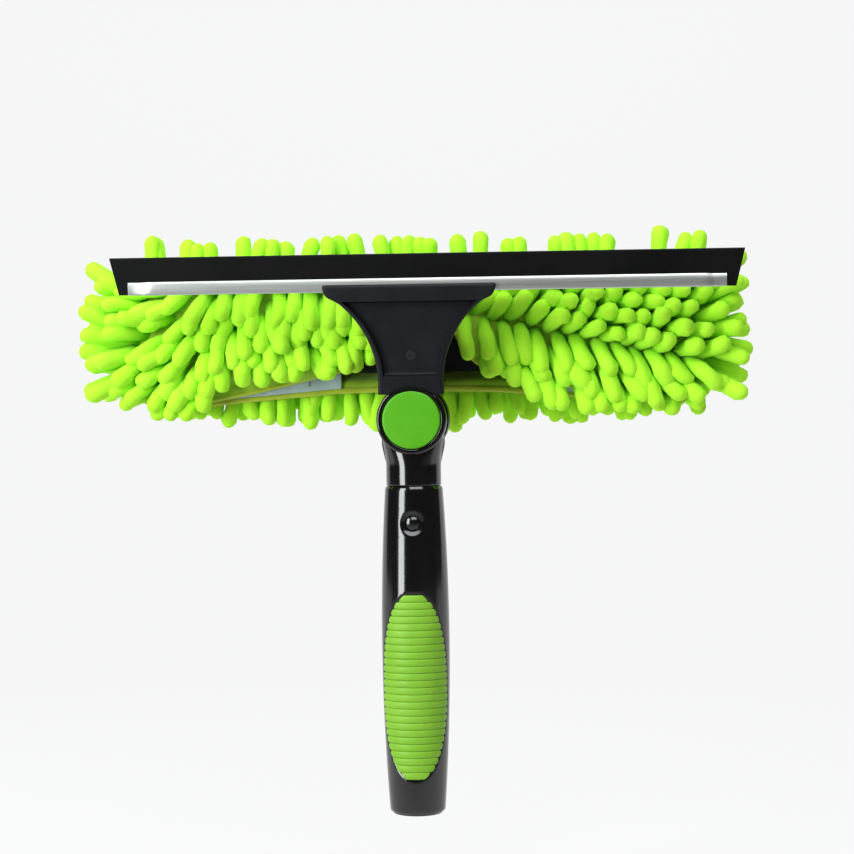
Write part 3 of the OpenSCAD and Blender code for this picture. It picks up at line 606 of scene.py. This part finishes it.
def fingers(name, root, d0, d1, length, radius, seed, floor_y=None):
    """Bent round-tipped cords; arrays of roots, first and last directions, lengths and radii."""
    rng = np.random.default_rng(seed)
    root, d0, d1 = (np.asarray(v, float) for v in (root, d0, d1))
    n, sides = len(root), 8
    d0, d1 = unit(d0), unit(d1)
    side = np.cross(d0, d1)
    weak = np.linalg.norm(side, axis=1) < 0.05
    side[weak] = np.cross(d0[weak], [0.31, 0.52, 0.79])
    side = unit(side)
    cap = (radius / length)[:, None]
    dome = [math.radians(38), math.radians(68)]      # two rings round the tip
    t = np.concatenate([T_RINGS * (1 - cap)] + [1 - cap + cap * math.sin(v) for v in dome], 1)
    swell = np.array([0.86, 0.93, 1.0, 1.05, 1.06] + [1.06 * math.cos(v) for v in dome])

    def place(t):
        """The middle line's points at fractions t of its length."""
        bent = t[..., None] * d0[:, None] + 0.5 * (t ** 2)[..., None] * (d1 - d0)[:, None]
        return root[:, None] + length[:, None, None] * bent

    centre = place(t)
    tangent = unit(d0[:, None] + t[..., None] * (d1 - d0)[:, None])
    wave = rng.normal(0, 1, (n, 2)) * 0.8
    phase = rng.uniform(0, 6.28, n)
    sway = (wave[:, :1] * np.sin(phase[:, None] + 5.0 * t) * t)[..., None] * side[:, None]
    centre = centre + sway
    tip = place(np.ones((n, 1))) + (wave[:, :1] * np.sin(phase[:, None] + 5.0))[..., None] * side[:, None]
    if floor_y is not None:
        keep = floor_y(centre[..., 2])
        centre[..., 1] = np.maximum(centre[..., 1], keep)
        tip[..., 1] = np.maximum(tip[..., 1], floor_y(tip[..., 2]))
    a = np.linspace(0, 2 * math.pi, sides, endpoint=False)
    normal = np.cross(side[:, None] + 0 * tangent, tangent)
    r = (radius[:, None] * swell * (1 + rng.normal(0, 0.04, (n, len(swell)))))[..., None, None]
    lumps = 1 + rng.normal(0, 0.045, (n, len(swell), sides, 1))
    across = np.cos(a)[:, None] * normal[:, :, None] + np.sin(a)[:, None] * side[:, None, None]
    ring = centre[:, :, None] + r * lumps * across
    per = len(swell) * sides + 1
    points = np.concatenate([ring.reshape(n, -1, 3), tip], 1)
    k = np.arange(sides)
    last = (len(swell) - 1) * sides
    tri = coords(last + k, last + (k + 1) % sides, per - 1)
    base = np.arange(n)[:, None, None] * per
    quads = (grid(len(swell), sides, True) + base).reshape(-1, 4)
    tris = (tri + base).reshape(-1, 3).tolist()
    bottoms = (k[::-1] + base[:, 0]).tolist()
    along = np.concatenate([np.repeat(t, sides, 1), np.ones((n, 1))], 1)
    tint = np.repeat(rng.uniform(0, 1, (n, 1)), per, 1)
    obj = piece(name, points, quads, tris + bottoms, attributes={"along": along, "tint": tint})
    return obj


def clear_front(z):
    """How far forward a finger may hang: below the bar it stays behind the swinging handle."""
    return np.interp(z, [207, 224], [21.9, 4.0])


def on_cloth(x, z, front=True):
    """The point of the cloth at x and height z, a little inside it so that the root is hidden."""
    y, z = drawn_in(x, cloth_y(z, front), z)
    return coords(x, y + (0.4 if front else -0.4), z)


def rows(x0, x1, dx, zs, rng, jitter):
    """Staggered rows of roots between x0 and x1, each with a little scatter."""
    out = []
    for i, z in enumerate(zs):
        x = np.arange(x0 + (i % 2) * dx / 2, x1, dx)       # every second row is moved by half a step
        out.append(coords(x, z))
    p = np.concatenate(out)
    return p + rng.normal(0, jitter / 2, p.shape)


def sew(name, root, d0, d1, length, thin, thick, seed, floor_y=None):
    """Makes one zone's fingers and keeps them; each finger's radius is drawn between thin and thick."""
    made.append(fingers(name, root, d0, d1, length, rng.uniform(thin, thick, len(root)), seed, floor_y))


made = []
fwd, bwd = np.array([0, -1.0, 0]), np.array([0, 1.0, 0])
# front, left: hanging in rows, fanning out to the left end
rng = np.random.default_rng(11)
p = rows(-138, -21, 8.7, [255, 247.5, 240, 232.5, 225, 217.5, 210, 203], rng, 2.0)
x, z = p[:, 0], p[:, 1]
keep = (z > front_hem(x) + 3.0) & ~((z < 223.5) & (x > -92)) & ~((z < 214) & (x > -101))
x, z = x[keep], z[keep]
phi = np.interp(x, [-140, -122, -104, -80, -50, -22], [-78, -52, -16, 2, 10, 14]) + rng.normal(0, 7, len(x))
phi = np.radians(phi - np.clip((z - 222) / 30, -0.4, 1) * 34 * step(-96, -122, x))
lay = coords(np.sin(phi), 0 * phi, -np.cos(phi))
lift = rng.uniform(0.7, 1.25, len(x))[:, None]
d0 = lay * 0.75 + fwd * lift
d1 = lay * 1.0 + fwd * rng.uniform(-0.25, 0.3, len(x))[:, None] + rng.normal(0, 0.1, (len(x), 3))
length = rng.uniform(21.5, 27, len(x))
length = np.minimum(length, np.maximum((z - 186.5) / 0.85, 13))
length = np.where(x > -88, np.clip((z - front_hem(x) + 3.0) / 0.8, 13, length), length)
sew("pile_front_left", on_cloth(x, z), d0, d1, length, 3.7, 4.3, 21, clear_front)

# front, right: parted along a line, up above it and down below it
rng = np.random.default_rng(12)


def parting(x):
    """Height of the line along which the fingers part, falling gently to the right."""
    return 238.5 - 0.2 * (x - 34.0)


rows_off = np.array([35.0, 26.5, 18.0, 9.7, 1.4, -1.8, -11.0, -20.0, -29.0])
p = rows(20, 139, 9.0, rows_off, rng, 1.4)
x, dz = p[:, 0], p[:, 1]
z = parting(x) + dz
keep = (z < 257) & (z > front_hem(x) + 3.0) & ~((x < 30) & (z < 229))
x, z, dz = x[keep], z[keep], dz[keep]
above = dz > 0
deg_up = np.interp(x, [22, 60, 100, 138], [38, 42, 30, 14]) + rng.normal(0, 8, len(x))
deg_dn = np.interp(x, [22, 40, 80, 110, 138], [-88, -72, -66, -62, -30]) + rng.normal(0, 7, len(x))
deg_dn = deg_dn - 16 * step(-8, -24, dz) * step(60, 120, x)
deg = np.radians(np.where(above, deg_up, deg_dn))
lay = coords(np.cos(deg), 0 * deg, np.sin(deg))
toward = np.where(above, np.interp(x, [22, 50, 75, 120, 138], [0.6, 0.9, 1.6, 1.7, 0.7]), 0.85)[:, None]
toward = toward * rng.uniform(0.8, 1.2, (len(x), 1))
d0 = lay * 0.7 + fwd * toward
d1 = lay * 1.0 + fwd * np.where(above, 0.75, 0.02)[:, None] * toward + rng.normal(0, 0.07, (len(x), 3))
length = np.where(above, rng.uniform(17.5, 22, len(x)), rng.uniform(22.5, 27.5, len(x)))
length = np.where(above, length, np.minimum(length, np.maximum((z - 188) / 0.9, 13)))
length = np.where((x < 46) & ~above, np.clip((z - front_hem(x) + 4.0) / 0.85, 13, length), length)
sew("pile_front_right", on_cloth(x, z), d0, d1, length, 3.8, 4.35, 22, clear_front)

# top: clumps that stand up, and the rest combed back
rng = np.random.default_rng(13)
# each clump: the middle's x, how many fingers, how far apart, height of the tips
CLUMPS = [(-126, 3, 9, 281), (-106, 2, 6, 279), (-72, 5, 8, 280), (-35, 3, 10, 283), (-3, 5, 6, 280),
          (27, 2, 12, 280), (47, 2, 6, 278), (81, 5, 7, 279), (129, 3, 9, 281)]
tall_x = np.concatenate([x + gap * (np.arange(count) - (count - 1) / 2) for x, count, gap, _ in CLUMPS])
tall_z = np.concatenate([np.full(count, tip) for _, count, _, tip in CLUMPS])
tall_x = tall_x + rng.normal(0, 0.8, len(tall_x))
tall_z = tall_z + rng.normal(0, 1.3, len(tall_x))
n = len(tall_x)
root = coords(tall_x, rng.uniform(31, 36, n), 257.0)
root[:, 2] -= 4.5 * step(126, 140, np.abs(tall_x))
d0 = coords(rng.normal(0, 0.12, n), rng.normal(-0.1, 0.1, n), 1.0)
d1 = coords(rng.normal(0, 0.2, n), rng.normal(0, 0.1, n), 1.0)
sew("pile_top_standing", root, d0, d1, tall_z - root[:, 2], 3.6, 4.3, 23)
x = np.concatenate([np.arange(-134, 137, 8.5), np.arange(-130, 137, 8.5)])
second = np.repeat([0.0, 1.0], 32)           # 0 in the first of the two rows, 1 in the second
n = len(x)
root = coords(x + rng.normal(0, 1, n), 34 + 5 * second, 256.5 - 1.5 * second)
d0 = coords(rng.normal(0, 0.25, n), 0.15 + 0.6 * second, 0.75)
d1 = coords(rng.normal(0, 0.35, n), 1.0, rng.uniform(-0.3, 0.2, n))
sew("pile_top_combed_back", root, d0, d1, rng.uniform(17, 22, n), 3.4, 3.9, 24)
x = np.arange(-132, 135, 7.8)
n = len(x)
root = coords(x + rng.normal(0, 1, n), 33.0, 255.5)
d0 = coords(rng.normal(0, 0.2, n), -1.0, rng.uniform(0.35, 0.6, n))
d1 = coords(rng.normal(0, 0.3, n), -1.0, rng.uniform(-0.5, -0.1, n))
sew("pile_top_combed_forward", root, d0, d1, rng.uniform(16, 20, n), 3.5, 4.0, 28)

# back: hanging in slanted rows
rng = np.random.default_rng(14)
p = rows(-137, 138, 8.6, [253, 244.5, 236, 227.5, 219, 211], rng, 2.0)
x, z = p[:, 0], p[:, 1]
swing = -90 + 26 * np.sin(x / 24.0 + z / 30.0) + np.interp(x, [-140, -112, 112, 140], [-50, 0, 0, 50])
swing = np.radians(swing + rng.normal(0, 9, len(x)))
lay = coords(np.cos(swing), 0 * swing, np.sin(swing))
d0 = lay * 0.7 + bwd * rng.uniform(0.9, 1.5, (len(x), 1))
d1 = lay + bwd * rng.uniform(-0.05, 0.55, (len(x), 1)) + rng.normal(0, 0.1, (len(x), 3))
root = on_cloth(x, z, False)
root[:, 1] += 3.2 * (z < 217)
sew("pile_back_rows", root, d0, d1, rng.uniform(20, 25, len(x)), 3.45, 3.95, 25)

# below: the back flap's fingers that show under the hems
rng = np.random.default_rng(15)
upper, lower = np.arange(-133, 134, 8.2), np.arange(-129, 130, 8.2)
second = np.repeat([0.0, 1.0], [len(upper), len(lower)])
n = len(second)
x = np.concatenate([upper, lower]) + rng.normal(0, 1.0, n)
z0 = np.interp(np.abs(x), [0, 60, 126, 140], [207.5, 207.5, 211.5, 215])
z0 = z0 - 0.5 * second + rng.normal(0, 1.2, n)
root = coords(x, np.maximum(41.0, cloth_y(z0, False) + 3.4) + 1.5 * second, z0)
out = np.interp(x, [-140, -110, 110, 140], [-0.6, -0.1, 0.12, 0.6]) + rng.normal(0, 0.12, n)
d0 = coords(out, 0.25 + 0.5 * second, -1.0)
d1 = coords(out * 1.3, -0.25 + 0.4 * second + rng.normal(0, 0.1, n), -1.0)
sew("pile_below_hem", root, d0, d1, rng.uniform(18.5, 25.5, n), 3.6, 4.2, 26)

# the two ends: outwards like the ends of a brush
rng = np.random.default_rng(16)
zz, yy = np.meshgrid([213, 221.5, 230, 238.5, 247], [30.5, 36.0, 41.5])
z, y = (zz + np.array([[0.0], [4.2], [0.0]])).ravel(), yy.ravel()
n = len(z)
root, d0, d1 = [], [], []
for s in (-1, 1):
    root.append(coords(s * 139.0, y + rng.normal(0, 1, n), z + rng.normal(0, 1.5, n)))
    d0.append(coords(float(s), (y - SLEEVE_Y) / 14, (z - 230) / 40))
    d1.append(coords(float(s), (y - SLEEVE_Y) / 9 + rng.normal(0, 0.2, n),
                     (z - 230) / 26 + rng.normal(0, 0.15, n)))
root, d0, d1 = (np.concatenate(v) for v in (root, d0, d1))
reach = np.where(root[:, 0] < 0, 4.0, 2.0)       # the left end reaches out further
length = rng.uniform(21, 28, len(root)) + reach
sew("pile_ends", root, d0, d1, length, 3.7, 4.3, 27)
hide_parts("pile_left")
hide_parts("pile_right")
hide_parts("pile_back")
PER_FINGER = 7 * 8 + 1       # points: seven rings of eight, and the tip
print("fingers:", sum(len(o.data.vertices) // PER_FINGER for o in made))

# %% [markdown]
# ## The two springs
# The snap pin is pushed out by a leaf spring, a strip of steel bent to a U inside the neck. The button
# is pushed out by a coil, a wire wound in a helix. Its middle line climbs evenly while it turns, and lies
# flat at both ends so that the spring stands square.

# %%
def coil():
    """Ring of wire around a helix; the pitch eases to nothing at both ends."""
    turns, n, r = 4.0, 161, 5.6
    s = np.linspace(0, 1, n)
    a = s * turns * 2 * math.pi
    y = 3.05 + 4.5 * step(0.06, 0.94, s)
    path = coords(r * np.cos(a), y, HUB + r * np.sin(a))
    t = unit(np.gradient(path, axis=0))
    out = coords(np.cos(a), 0, np.sin(a))
    up = np.cross(t, out)
    sides, wire = 10, 0.4
    b = np.linspace(0, 2 * math.pi, sides, endpoint=False)
    p = path[:, None] + wire * (np.cos(b)[:, None] * out[:, None] + np.sin(b)[:, None] * up[:, None])
    return p, grid(n, sides, True), end_caps(n, sides)


def leaf():
    """The pin's leaf spring: a strip bent to a U, with two straight legs and half a circle between them."""
    lo, hi = (np.array(v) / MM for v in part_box("snap_spring"))
    half_w, r = (hi[0] - lo[0]) / 2, (hi[1] - lo[1]) / 2
    y0, z0, t = (hi[1] + lo[1]) / 2, lo[2] + r, 0.4
    a = np.linspace(math.pi, 2 * math.pi, 25)
    zs = np.linspace(hi[2], z0, 9)[:-1]
    y = np.concatenate([np.full(8, y0 - r), y0 + r * np.cos(a), np.full(8, y0 + r)])
    z = np.concatenate([zs, z0 + r * np.sin(a), zs[::-1]])
    yi = np.concatenate([np.full(8, y0 - r + t), y0 + (r - t) * np.cos(a), np.full(8, y0 + r - t)])
    zi = np.concatenate([zs, z0 + (r - t) * np.sin(a), zs[::-1]])
    n = len(y)
    corners = ((-1, y, z), (1, y, z), (1, yi, zi), (-1, yi, zi))
    p = np.stack([coords(s * half_w, yy, zz) for s, yy, zz in corners], 1)
    return p, grid(n, 4, True), end_caps(n, 4), hi, 2 * r


p, f, caps, top_corner, depth = leaf()
leaf_spring = piece("snap_leaf_spring", p, f, caps, body="handle", smooth_angle=35)
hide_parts("snap_spring")
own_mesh(leaf_spring)
p, f, caps = coil()
spring = piece("lock_spring_coil", p, f, caps)
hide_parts("lock_spring")
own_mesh(spring)

# %% [markdown]
# ## Shared material effects
# An effect that several materials need is a node group. Each one takes a scale and a strength and gives
# back a mask and a bent normal; the shader itself stays in each material. All of them work on Object
# coordinates, which are in metres here, so a scale of 1000 means features of a millimetre.

# %%
def feed(tree, socket, value):
    """Gives a socket a number or a colour, or links another socket to it."""
    if isinstance(value, bpy.types.NodeSocket):
        tree.links.new(value, socket)
    else:
        socket.default_value = value


def math_node(tree, op, a, b, clamp=False):
    """A math node; each of a and b is a number or a socket."""
    m = tree.nodes.new("ShaderNodeMath")
    m.operation, m.use_clamp = op, clamp
    feed(tree, m.inputs[0], a)
    feed(tree, m.inputs[1], b)
    return m.outputs[0]


def noise(tree, vector, scale, detail=3.0, rough=0.55, distortion=0.0):
    """Noise at a place; scale may be a number or a socket."""
    t = tree.nodes.new("ShaderNodeTexNoise")
    for key, value in (("Detail", detail), ("Roughness", rough), ("Distortion", distortion), ("Scale", scale),
                       ("Vector", vector)):
        feed(tree, t.inputs[key], value)
    return t.outputs["Fac"]


def effect(name, scale, strength, depth, pattern):
    """A node group: Scale and Strength go in, Mask and Normal come out. Depth is the bump's, in metres."""
    g = bpy.data.node_groups.new(name, "ShaderNodeTree")
    for key, value in (("Scale", scale), ("Strength", strength)):
        g.interface.new_socket(key, in_out="INPUT", socket_type="NodeSocketFloat").default_value = value
    g.interface.new_socket("Mask", in_out="OUTPUT", socket_type="NodeSocketFloat")
    g.interface.new_socket("Normal", in_out="OUTPUT", socket_type="NodeSocketVector")
    inputs, outputs = g.nodes.new("NodeGroupInput").outputs, g.nodes.new("NodeGroupOutput").inputs
    place = g.nodes.new("ShaderNodeTexCoord").outputs["Object"]
    mask, height = pattern(g, place, inputs["Scale"])
    bump = g.nodes.new("ShaderNodeBump")
    for key, value in (("Height", height), ("Strength", inputs["Strength"]), ("Distance", depth)):
        feed(g, bump.inputs[key], value)
    g.links.new(mask, outputs["Mask"])
    g.links.new(bump.outputs["Normal"], outputs["Normal"])
    return g


def skin(g, place, scale):
    """Moulded plastic: a faint sparkle-eroded skin, and a mask of rubbed places."""
    rubbed = math_node(g, "SUBTRACT", noise(g, place, 38.0, 5.0, 0.65), 0.42)
    return math_node(g, "MULTIPLY", rubbed, 3.0, True), noise(g, place, scale, 4.0)


def streaks(g, place, scale):
    """Drawn metal: long streaks along x."""
    stretch = g.nodes.new("ShaderNodeMapping")
    stretch.inputs["Scale"].default_value = (0.35, 40.0, 40.0)
    g.links.new(place, stretch.inputs["Vector"])
    streak = noise(g, stretch.outputs["Vector"], scale, 5.0, 0.7)
    return streak, streak


def threads(g, place, scale):
    """Woven cloth: two crossed waves, one for each direction of the thread."""
    bands = []
    for axis in ("X", "Z"):
        w = g.nodes.new("ShaderNodeTexWave")
        w.bands_direction = axis
        for key, value in (("Distortion", 1.2), ("Detail Scale", 2.0), ("Vector", place), ("Scale", scale)):
            feed(g, w.inputs[key], value)
        bands.append(w.outputs["Fac"])
    both = math_node(g, "MULTIPLY", *bands)
    return both, both


def tufts(g, place, scale):
    """Tufted yarn: short fibres standing in every direction."""
    fine = math_node(g, "MULTIPLY", noise(g, place, scale, 4.0, 0.7, 0.6), 0.55)
    both = math_node(g, "ADD", fine, math_node(g, "MULTIPLY", noise(g, place, 260.0, 2.0, 0.5), 0.45))
    return both, both


moulded_skin = effect("moulded_skin", 900.0, 0.1, 0.0004, skin)
drawn_metal = effect("drawn_metal", 60.0, 0.2, 0.0002, streaks)
weave = effect("weave", 1100.0, 0.5, 0.0005, threads)
tufted = effect("tufted", 900.0, 0.6, 0.0009, tufts)

# %% [markdown]
# ## Materials
# `surface` makes a material whose colour runs between two tones by an effect's mask and whose roughness
# does the same. A table holds one row for each. The chenille has its own tree, because it also reads
# what each finger stored: how far along the finger a point is, and the finger's own tint. The roots are
# painted darker and greener than the tips: painted shade for the depth of the pile, where light only reaches
# in part of the way.

# %%
def srgb(r, g, b):
    """Screen colour from 0 to 255 to the linear value that shaders use."""
    v = np.array([r, g, b]) / 255.0
    v = np.where(v <= 0.04045, v / 12.92, ((v + 0.055) / 1.055) ** 2.4)
    return (*v.tolist(), 1.0)


def mixed(tree, fac, a, b):
    """A colour mix; the share and the two colours are each a value or a socket."""
    m = tree.nodes.new("ShaderNodeMix")
    m.data_type = "RGBA"
    for key, value in ((0, fac), (6, a), (7, b)):        # a mix node's inputs for the share and two colours
        feed(tree, m.inputs[key], value)
    return m.outputs[2]


def dressed(name, group, scale, strength):
    """A new material whose Normal comes from an effect: the material, its tree, shader and effect's mask."""
    m = bpy.data.materials.new(name)
    m.use_nodes = True
    t = m.node_tree
    b = t.nodes["Principled BSDF"]
    u = t.nodes.new("ShaderNodeGroup")
    u.node_tree = group
    u.inputs["Scale"].default_value = scale
    u.inputs["Strength"].default_value = strength
    t.links.new(u.outputs["Normal"], b.inputs["Normal"])
    return m, t, b, u.outputs["Mask"]


def surface(name, group, scale, strength, low, high, rough, metallic, sheen, specular):
    """A material with its colour and roughness carried between two values by the effect's mask."""
    m, t, b, mask = dressed(name, group, scale, strength)
    roughness = math_node(t, "ADD", math_node(t, "MULTIPLY", mask, rough[1] - rough[0]), rough[0])
    for key, value in (("Base Color", mixed(t, mask, srgb(*low), srgb(*high))), ("Roughness", roughness),
                       ("Metallic", metallic), ("Sheen Weight", sheen), ("Specular IOR Level", specular)):
        feed(t, b.inputs[key], value)
    return m


# name, effect, its scale and strength, the two tones, roughness from and to, metallic, sheen, specular
SURFACES = [
    ("gloss_black", moulded_skin, 700.0, 0.012, (2, 2, 2), (4, 4, 4), (0.1, 0.16), 0.0, 0.0, 0.75),
    ("satin_black", moulded_skin, 1800.0, 0.08, (10, 10, 11), (16, 16, 18), (0.38, 0.52), 0.0, 0.0, 0.25),
    ("bracket_black", moulded_skin, 2200.0, 0.12, (14, 15, 18), (20, 21, 25), (0.4, 0.55), 0.0, 0.0, 0.22),
    ("blade_black", moulded_skin, 1200.0, 0.06, (5, 5, 5), (10, 9, 9), (0.5, 0.65), 0.0, 0.0, 0.12),
    ("grip_green", moulded_skin, 1500.0, 0.2, (116, 170, 40), (132, 182, 52), (0.42, 0.58), 0.0, 0.0, 0.3),
    ("button_green", moulded_skin, 1500.0, 0.08, (75, 156, 14), (85, 164, 24), (0.36, 0.46), 0.0, 0.0, 0.35),
    ("gear_white", moulded_skin, 1500.0, 0.1, (196, 196, 188), (222, 222, 214), (0.4, 0.55), 0.0, 0.0, 0.5),
    ("drawn_steel", drawn_metal, 60.0, 0.25, (162, 166, 160), (214, 216, 212), (0.3, 0.46), 1.0, 0.0, 0.5),
    ("spring_wire", drawn_metal, 160.0, 0.1, (150, 152, 155), (200, 202, 205), (0.2, 0.35), 1.0, 0.0, 0.5),
    ("screw_steel", drawn_metal, 120.0, 0.15, (120, 121, 124), (186, 188, 190), (0.25, 0.42), 1.0, 0.0, 0.5),
    ("dark_steel", drawn_metal, 160.0, 0.1, (52, 53, 56), (96, 98, 102), (0.2, 0.35), 1.0, 0.0, 0.5),
    ("backing_cloth", weave, 900.0, 0.6, (150, 198, 26), (206, 238, 60), (0.8, 0.95), 0.0, 0.3, 0.5),
    ("tape_blue_grey", tufted, 2600.0, 0.8, (128, 152, 156), (206, 222, 222), (0.75, 0.95), 0.0, 0.2, 0.5),
    ("hem_yellow", weave, 1600.0, 0.6, (168, 192, 10), (232, 246, 76), (0.7, 0.9), 0.0, 0.2, 0.5),
]
looks = {row[0]: surface(*row) for row in SURFACES}

yarn, t, b, mask = dressed("chenille_yarn", tufted, 1100.0, 0.5)
along = t.nodes.new("ShaderNodeAttribute")
along.attribute_name = "along"
tint = t.nodes.new("ShaderNodeAttribute")
tint.attribute_name = "tint"
# Painted shade: the colour darkens from tip to root along each finger, for the shade deep in the pile.
painted_root_shade = t.nodes.new("ShaderNodeMapRange")
painted_root_shade.interpolation_type = "SMOOTHSTEP"
painted_root_shade.inputs["From Max"].default_value = 0.6
t.links.new(along.outputs["Fac"], painted_root_shade.inputs["Value"])
# The first colour is the painted shade at the roots; the second is the yarn's colour at the tips.
colour_with_painted_shade = mixed(t, painted_root_shade.outputs["Result"], srgb(112, 188, 12), srgb(178, 245, 50))
warm = mixed(t, math_node(t, "MULTIPLY", tint.outputs["Fac"], 0.3), colour_with_painted_shade, srgb(192, 248, 70))
fuzz = mixed(t, math_node(t, "MULTIPLY", mask, 0.55), warm, srgb(162, 242, 36))
for key, value in (("Base Color", fuzz), ("Roughness", 0.9), ("Specular IOR Level", 0.15),
                   ("Sheen Weight", 0.25), ("Sheen Roughness", 0.6), ("Sheen Tint", srgb(200, 255, 110))):
    feed(t, b.inputs[key], value)


def wear(obj, material):
    """Puts one material in every slot of an object."""
    if not obj.data.materials:
        obj.data.materials.append(material)
    for k in range(len(obj.material_slots)):
        obj.material_slots[k].material = material


worn = {"gloss_black": [handle, neck_stem, neck_ring, "snap_pin"],
        "satin_black": ["scrubber_frame", "hub_cap"],
        "bracket_black": [bracket], "drawn_steel": [channel], "blade_black": [blade],
        "button_green": [button, legs],
        "spring_wire": [spring, leaf_spring], "backing_cloth": [cloth], "grip_green": [grip_f, grip_b],
        "hem_yellow": [hem_front, hem_back] + seams, "tape_blue_grey": [loop_l, loop_r, hook_l, hook_r],
        "gear_white": ["lock_gear"], "screw_steel": ["pivot_washer", "pivot_screw"],
        "dark_steel": ["bracket_screw"]}
for name, pieces in worn.items():
    for o in pieces:
        wear(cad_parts[o] if isinstance(o, str) else o, looks[name])
for o in made:
    wear(o, yarn)
print("materials:", len(bpy.data.materials))

# %% [markdown]

# %% [markdown]
# ## Studio
# A pale sheet of paper under and behind the part, a tall soft light at the front left that draws the one
# bright line down the gloss handle, a broad one high in front, and a soft light above for the sleeve.

# %%
def backdrop():
    """A floor that curves up into a wall: one profile carried sideways, kept well below and behind."""
    r = 700.0                    # radius of the bend
    a = np.linspace(0, math.pi / 2, 24)
    y = np.concatenate([[-2600.0], 900 + r * np.sin(a), [900 + r]])
    z = np.concatenate([[-60.0], -60 + r * (1 - np.cos(a)), [2600.0]])
    p = coords(np.linspace(-2600, 2600, 3), y[:, None], z[:, None])
    mesh = bpy.data.meshes.new("paper")
    mesh.from_pydata((p.reshape(-1, 3) * MM).tolist(), [], grid(len(y), 3).tolist())
    mesh.polygons.foreach_set("use_smooth", [True] * len(mesh.polygons))
    o = bpy.data.objects.new("paper", mesh)
    bpy.context.scene.collection.objects.link(o)
    m = bpy.data.materials.new("paper")
    m.use_nodes = True
    t = m.node_tree
    b = t.nodes["Principled BSDF"]
    for key, value in (("Base Color", (0.12, 0.12, 0.12, 1)), ("Roughness", 1.0), ("Specular IOR Level", 0.0),
                       ("Emission Color", (1, 1, 1, 1))):
        b.inputs[key].default_value = value
    co = t.nodes.new("ShaderNodeTexCoord")
    sep = t.nodes.new("ShaderNodeSeparateXYZ")
    t.links.new(co.outputs["Object"], sep.inputs[0])
    fade = t.nodes.new("ShaderNodeMapRange")
    fade.interpolation_type = "SMOOTHSTEP"
    for key, value in (("From Min", -0.55), ("From Max", 0.05), ("To Min", 0.2), ("To Max", 0.83)):
        fade.inputs[key].default_value = value
    t.links.new(sep.outputs["Y"], fade.inputs["Value"])
    t.links.new(fade.outputs["Result"], b.inputs["Emission Strength"])
    o.data.materials.append(m)


backdrop()


def lamp(name, place, aim, power, wide, tall):
    """An area light at a place in mm, turned to aim at another."""
    d = bpy.data.lights.new(name, "AREA")
    d.shape = "RECTANGLE"
    d.energy, d.size, d.size_y = power, wide, tall
    d.color = (0.94, 0.98, 1.0)
    o = bpy.data.objects.new(name, d)
    place, aim = np.array(place, float) * MM, np.array(aim, float) * MM
    o.location = place.tolist()
    o.rotation_euler = Vector((aim - place).tolist()).to_track_quat("-Z", "Y").to_euler()
    bpy.context.scene.collection.objects.link(o)
    return o


lamp("key_left", (-900, -900, 420), (0, 0, 190), 22.5, 0.5, 1.3)
lamp("front_high", (250, -1000, 1250), (0, 0, 230), 13.5, 1.2, 0.7)
lamp("top_soft", (0, -200, 1300), (0, 0, 220), 7, 1.2, 0.8)
world = bpy.data.worlds.new("room")
world.use_nodes = True
sky = world.node_tree.nodes["Background"].inputs
sky["Color"].default_value = (1, 1, 1, 1)
sky["Strength"].default_value = 0.09
bpy.context.scene.world = world


def camera(azimuth, elevation, roll, distance, target, lens):
    """Looks at a target in mm from a turn about Z, a height angle and a distance; roll tips the picture."""
    a, e, r = (math.radians(v) for v in (azimuth, elevation, roll))
    back = np.array([math.sin(a) * math.cos(e), -math.cos(a) * math.cos(e), math.sin(e)])
    right = np.array([math.cos(a), math.sin(a), 0.0])
    up = np.cross(back, right)
    right, up = right * math.cos(r) + up * math.sin(r), up * math.cos(r) - right * math.sin(r)
    place = np.array(target, float) * MM + back * distance * MM
    m = np.eye(4)
    m[:3, 0], m[:3, 1], m[:3, 2], m[:3, 3] = right, up, back, place
    c = bpy.data.cameras.new("camera")
    c.lens, c.sensor_width = lens, 36.0
    o = bpy.data.objects.new("camera", c)
    o.matrix_world = Matrix(m.tolist())
    bpy.context.scene.collection.objects.link(o)
    bpy.context.scene.camera = o


camera(3.5, 1.01, -0.75, 965.4, (6.7, 0, 185.3), 84.7)
view = bpy.context.scene.view_settings
view.view_transform = "Standard"
view.look = "None"
